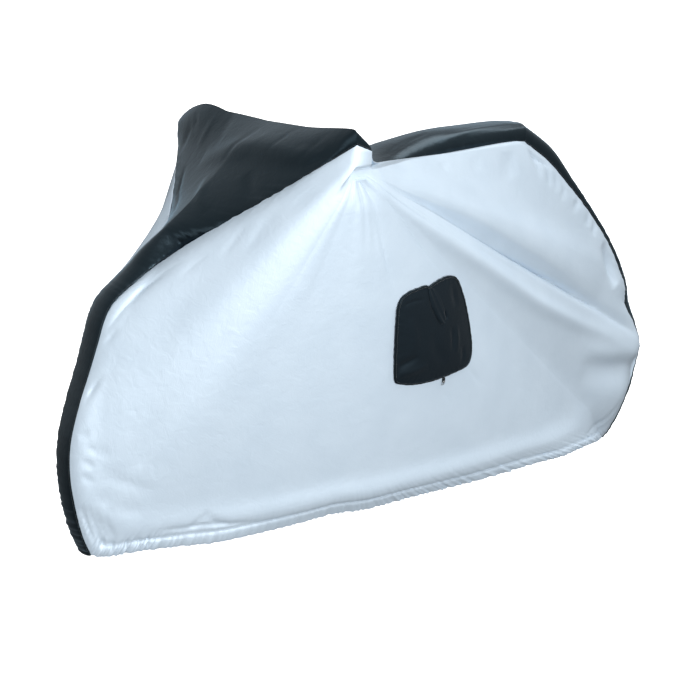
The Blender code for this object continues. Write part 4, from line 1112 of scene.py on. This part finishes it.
on_all = BVHTree.FromPolygons(draped.tolist(),
                              np.vstack([split(faces[tag]) for tag in faces]).tolist())
on_band = draped[band_index]
STITCHED_IN = 0.0035      # topstitching beside a seam
BESIDE = 0.0008           # stitches beside the middle of the binding
seam_lines = [at_distance(on_band[:, ::-1], STITCHED_IN), at_distance(on_band, STITCHED_IN)]
hem_lines = [at_distance(draped[index][hem_ribs][:, ::-1], CHANNEL)
             for index in (left_index, right_index)]
seam_thread = stitches("seam_thread", seam_lines, on_all)
hem_thread = stitches("hem_thread", hem_lines, on_all)
on_binding = surface_of(binding)
binding_line = path - inward * BESIDE + OUT * BINDING_HIGH
binding_line = np.vstack([binding_line, binding_line[:1]])
pouch_thread = stitches("pouch_thread", [binding_line], on_binding)

# %% [markdown]
# ## Finishes
# The silver cloth is polyester taffeta, woven flat and coated with aluminium pigment in
# polyurethane.  To the eye it is a pale metal with no mirror in it: the flakes lie at
# all angles in the coating, so the highlight is broad.  The dark cloth is nylon taffeta
# with a clear coating, dark blue-green, with a soft shine where it turns to the light.
# Both crinkle finely, which is drawn as bump, since it is much finer than the folds.

# %% Colours and one small function for nodes
def linear(code):
    """An sRGB hex colour as the linear values that a shader takes."""
    parts = [int(code[i:i + 2], 16) / 255 for i in (1, 3, 5)]
    return (*[c / 12.92 if c <= 0.04045 else ((c + 0.055) / 1.055) ** 2.4 for c in parts], 1.0)


def add_node(material, kind, settings=(), links=()):
    """Add a node: settings are (name, value), links are (input, other node, output)."""
    made = material.node_tree.nodes.new(kind)
    for name, value in settings:
        if isinstance(name, int) or name in made.inputs:
            made.inputs[name].default_value = value
        else:
            setattr(made, name, value)
    for name, other, output in links:
        material.node_tree.links.new(other.outputs[output], made.inputs[name])
    return made


def new_material(name):
    """A material without nodes."""
    made = bpy.data.materials.new(name)
    made.use_nodes = True
    made.node_tree.nodes.clear()
    return made


# %% [markdown]
# Every finish here is made of the same few parts: a fine pattern, two shades that it
# moves between, a little relief and the shader that takes them.

# %% Patterns, shades, relief and shader
def noise(material, place, spot_mm, detail, *settings):
    """Uneven spots, some millimetres across."""
    return add_node(material, "ShaderNodeTexNoise",
                    [("Scale", 1 / (spot_mm * MM)), ("Detail", detail), *settings],
                    [("Vector", place, "Object")])


def bands(material, place, direction, pitch_mm):
    """Even bands.  Their waves turn through 20 radians a unit, so this is their pitch."""
    return add_node(material, "ShaderNodeTexWave",
                    [("bands_direction", direction),
                     ("Scale", 2 * math.pi / (20 * pitch_mm * MM))],
                    [("Vector", place, "Object")])


def two_shades(material, pattern, first, second):
    """A colour that a pattern moves from one shade to another."""
    return add_node(material, "ShaderNodeMix",
                    [("data_type", "RGBA"), (6, first), (7, second)], [(0, pattern, "Fac")])


def relief(material, height, output, strength, depth_mm, *links):
    """Bump from the height that a node gives."""
    return add_node(material, "ShaderNodeBump",
                    [("Strength", strength), ("Distance", depth_mm * MM)],
                    [("Height", height, output), *links])


def surface(material, settings, links=()):
    """The shader of a material, joined to its output."""
    shader = add_node(material, "ShaderNodeBsdfPrincipled", settings, links)
    add_node(material, "ShaderNodeOutputMaterial", (), [("Surface", shader, "BSDF")])


# %% Coated cloth: weave, crinkle and a soft shine
def coated_cloth(name, light, dark, roughness, thread_mm, crinkle_mm, crinkle, look=()):
    """Woven cloth with a coating.  Colour drifts between two shades over a hand's width."""
    cloth = new_material(name)
    place = add_node(cloth, "ShaderNodeTexCoord")
    shade = two_shades(cloth, noise(cloth, place, 90, 4.0), light, dark)
    along, across, up = (bands(cloth, place, axis, thread_mm) for axis in "XYZ")
    warp = add_node(cloth, "ShaderNodeMath", [("operation", "MULTIPLY")],
                    [(0, along, "Fac"), (1, up, "Fac")])
    weave = add_node(cloth, "ShaderNodeMath", [("operation", "MAXIMUM")],
                     [(0, warp, "Value"), (1, across, "Fac")])
    wide = noise(cloth, place, crinkle_mm, 5.0, ("Roughness", 0.55), ("Distortion", 0.6))
    crinkled = relief(cloth, wide, "Fac", crinkle, 0.10 * crinkle_mm)
    woven = relief(cloth, weave, "Value", 0.25, 0.1, ("Normal", crinkled, "Normal"))
    surface(cloth, [("Roughness", roughness), ("IOR", 1.5), *look],
            [("Base Color", shade, 2), ("Normal", woven, "Normal")])
    return cloth


# The threads of such taffeta lie 0.25 mm apart, drawn at 1.6 mm so that they can show.
SILVER = coated_cloth("polyester taffeta, aluminium coated", linear("#C4D3E0"), linear("#B8C8D6"),
                      0.57, 1.6, 26, 0.35, [("Metallic", 0.25)])
BLACK = coated_cloth("nylon taffeta, clear coated", linear("#0A1115"), linear("#070D11"),
                     0.30, 1.6, 20, 0.35,
                     [("Specular IOR Level", 0.64), ("Specular Tint", linear("#A8CBE0")),
                      ("Sheen Weight", 0.75), ("Sheen Roughness", 0.32),
                      ("Sheen Tint", linear("#98C0DA"))])
for tag, piece in enumerate(panels):
    piece.data.materials.append(SILVER if tag in (LEFT, RIGHT) else BLACK)

# %% [markdown]
# The pouch is a heavier polyester with a plain dull face.  Its binding is woven tape,
# ribbed and denser than the cloth, and it shines a little more along its fold.

# %% Pouch cloth, binding tape and thread
POUCH = coated_cloth("plain-woven polyester, dull face", linear("#0E161C"), linear("#0A1116"),
                     0.60, 1.2, 14, 0.45, [("Specular IOR Level", 0.32),
                                           ("Specular Tint", linear("#A9C6DA")),
                                           ("Sheen Weight", 0.08), ("Sheen Roughness", 0.4)])
TAPE = coated_cloth("grosgrain binding tape, woven", linear("#0B1216"), linear("#080D11"),
                    0.50, 0.9, 9, 0.30, [("Specular IOR Level", 0.35),
                                         ("Specular Tint", linear("#A9C6DA")),
                                         ("Sheen Weight", 0.10), ("Sheen Roughness", 0.3)])


STRAND_MM = 0.6           # from one turn of the thread's twist to the next


def thread_look(name, light, dark):
    """Twisted thread: the twist shows as fine slanting bands."""
    thread = new_material(name)
    place = add_node(thread, "ShaderNodeTexCoord")
    twist = bands(thread, place, "DIAGONAL", STRAND_MM)
    surface(thread, [("Roughness", 0.55), ("IOR", 1.5), ("Sheen Weight", 0.3)],
            [("Base Color", two_shades(thread, twist, dark, light), 2),
             ("Normal", relief(thread, twist, "Fac", 0.5, 0.1), "Normal")])
    return thread


DARK_THREAD = thread_look("polyester thread, dark, twisted", linear("#2B343A"), linear("#1A2125"))
GREY_THREAD = thread_look("polyester thread, grey, twisted", linear("#A9B6C1"), linear("#8D9BA7"))

# %% [markdown]
# The slider is moulded acetal, black and slightly glossy with the fine grain of its mould.
# The puller's wire is nickel plated and brushed by handling.

# %% Moulded plastic and plated wire
acetal = new_material("acetal, moulded black")
grain = noise(acetal, add_node(acetal, "ShaderNodeTexCoord"), 0.5, 3.0)
grain_shade = two_shades(acetal, grain, linear("#121416"), linear("#1C1F22"))
grain_relief = relief(acetal, grain, "Fac", 0.25, 0.05)
surface(acetal, [("Roughness", 0.42), ("IOR", 1.48)],
        [("Base Color", grain_shade, 2), ("Normal", grain_relief, "Normal")])

nickel = new_material("nickel-plated steel wire, handled")
rub = noise(nickel, add_node(nickel, "ShaderNodeTexCoord"), 1.5, 4.0)
rub_rough = add_node(nickel, "ShaderNodeMapRange", [("To Min", 0.22), ("To Max", 0.42)],
                     [("Value", rub, "Fac")])
rub_shade = two_shades(nickel, rub, linear("#B9BABB"), linear("#CFD0D0"))
rub_relief = relief(nickel, rub, "Fac", 0.15, 0.03)
surface(nickel, [("Metallic", 1.0)],
        [("Base Color", rub_shade, 2), ("Roughness", rub_rough, "Result"),
         ("Normal", rub_relief, "Normal")])

# %% [markdown]
# Each piece gets its finish and hangs from the root, and the imported solids that the pieces
# replace are hidden.

# %% Give each piece its finish, hang it from the root and hide the solids it replaces
for tag, piece in enumerate(panels):
    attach(piece, "root")
    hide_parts(PANELS[tag])
for piece, finish, slot, node in (
        (pouch, POUCH, "pocket_cloth", "pocket"),
        (tongue, POUCH, "pocket_cloth", "pocket_tab"),
        (binding, TAPE, "pocket_cloth", "pocket_binding"),
        (slider, acetal, "slider_plastic", "zip_slider"),
        (puller, nickel, "puller_metal", "zip_puller"),
        (seam_thread, DARK_THREAD, "black_cloth", None),
        (hem_thread, GREY_THREAD, "silver_cloth", None),
        (pouch_thread, DARK_THREAD, "pocket_cloth", None)):
    piece.data.materials.append(finish)
    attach(piece, "root")
    if node:
        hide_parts(node)

# %% [markdown]
# ## A plain white studio
# The photograph has a white ground and soft light from above and behind the camera.  The
# room is brighter above than below, so cloth that faces the floor is darker than cloth
# that faces up, and the folds show.

# %% Floor, sky and lights
FLOOR_Z, FAR = -REST[2], 60.0  # the ground, and how far it reaches each way
floor_mesh = bpy.data.meshes.new("floor")
floor_mesh.from_pydata([(-FAR, -FAR, FLOOR_Z), (FAR, -FAR, FLOOR_Z), (FAR, FAR, FLOOR_Z),
                        (-FAR, FAR, FLOOR_Z)], [], [(0, 1, 2, 3)])
floor = bpy.data.objects.new("floor", floor_mesh)
bpy.context.scene.collection.objects.link(floor)
paper = new_material("matt white paper")
surface(paper, [("Base Color", linear("#FAFAFA")), ("Roughness", 0.9),
                ("Emission Color", (1, 1, 1, 1)), ("Emission Strength", 1.0)])
floor_mesh.materials.append(paper)
floor.visible_diffuse = False  # white as it is, it throws no light up under the folds
floor.visible_glossy = False

SKY_LOW, SKY_HIGH = 0.12, 0.46  # the room's light from below and from above
SKY_EDGE = 0.3            # it changes from this far below the horizon to this far above
world = bpy.data.worlds.new("studio")
bpy.context.scene.world = world
world.use_nodes = True
sky = world.node_tree.nodes["Background"]
sky.inputs["Color"].default_value = (1, 1, 1, 1)
direction = add_node(world, "ShaderNodeTexCoord")
rise = add_node(world, "ShaderNodeSeparateXYZ", (), [("Vector", direction, "Generated")])
strength = add_node(world, "ShaderNodeMapRange",
                    [("From Min", -SKY_EDGE), ("From Max", SKY_EDGE), ("To Min", SKY_LOW),
                     ("To Max", SKY_HIGH)], [("Value", rise, "Z")])
world.node_tree.links.new(strength.outputs["Result"], sky.inputs["Strength"])


def light(name, kind, power, place, towards, **size):
    """A soft light at a place, shining along a direction."""
    data = bpy.data.lights.new(name, kind)
    data.energy = power
    for setting, value in size.items():
        setattr(data, setting, value)
    lamp = bpy.data.objects.new(name, data)
    lamp.location = place
    lamp.rotation_euler = Vector(towards).to_track_quat("-Z", "Y").to_euler()
    bpy.context.scene.collection.objects.link(lamp)


KEY_AT = np.array([0.05, 2.35, 0.74]) - REST
KEY_TO = np.array([-0.15, 0.20, 0.42]) - REST
light("softbox by the camera", "AREA", 58.0, KEY_AT, KEY_TO - KEY_AT, size=1.0)
light("softbox over the tail", "SUN", 2.2, (0, 0, 3), (0.37, -0.21, -0.91),
      angle=math.radians(45))
light("reflector by the nose", "SUN", 0.32, (3, 0, 0), (-0.93, -0.35, -0.12),
      angle=math.radians(30))
bpy.context.scene.view_settings.view_transform = "Standard"
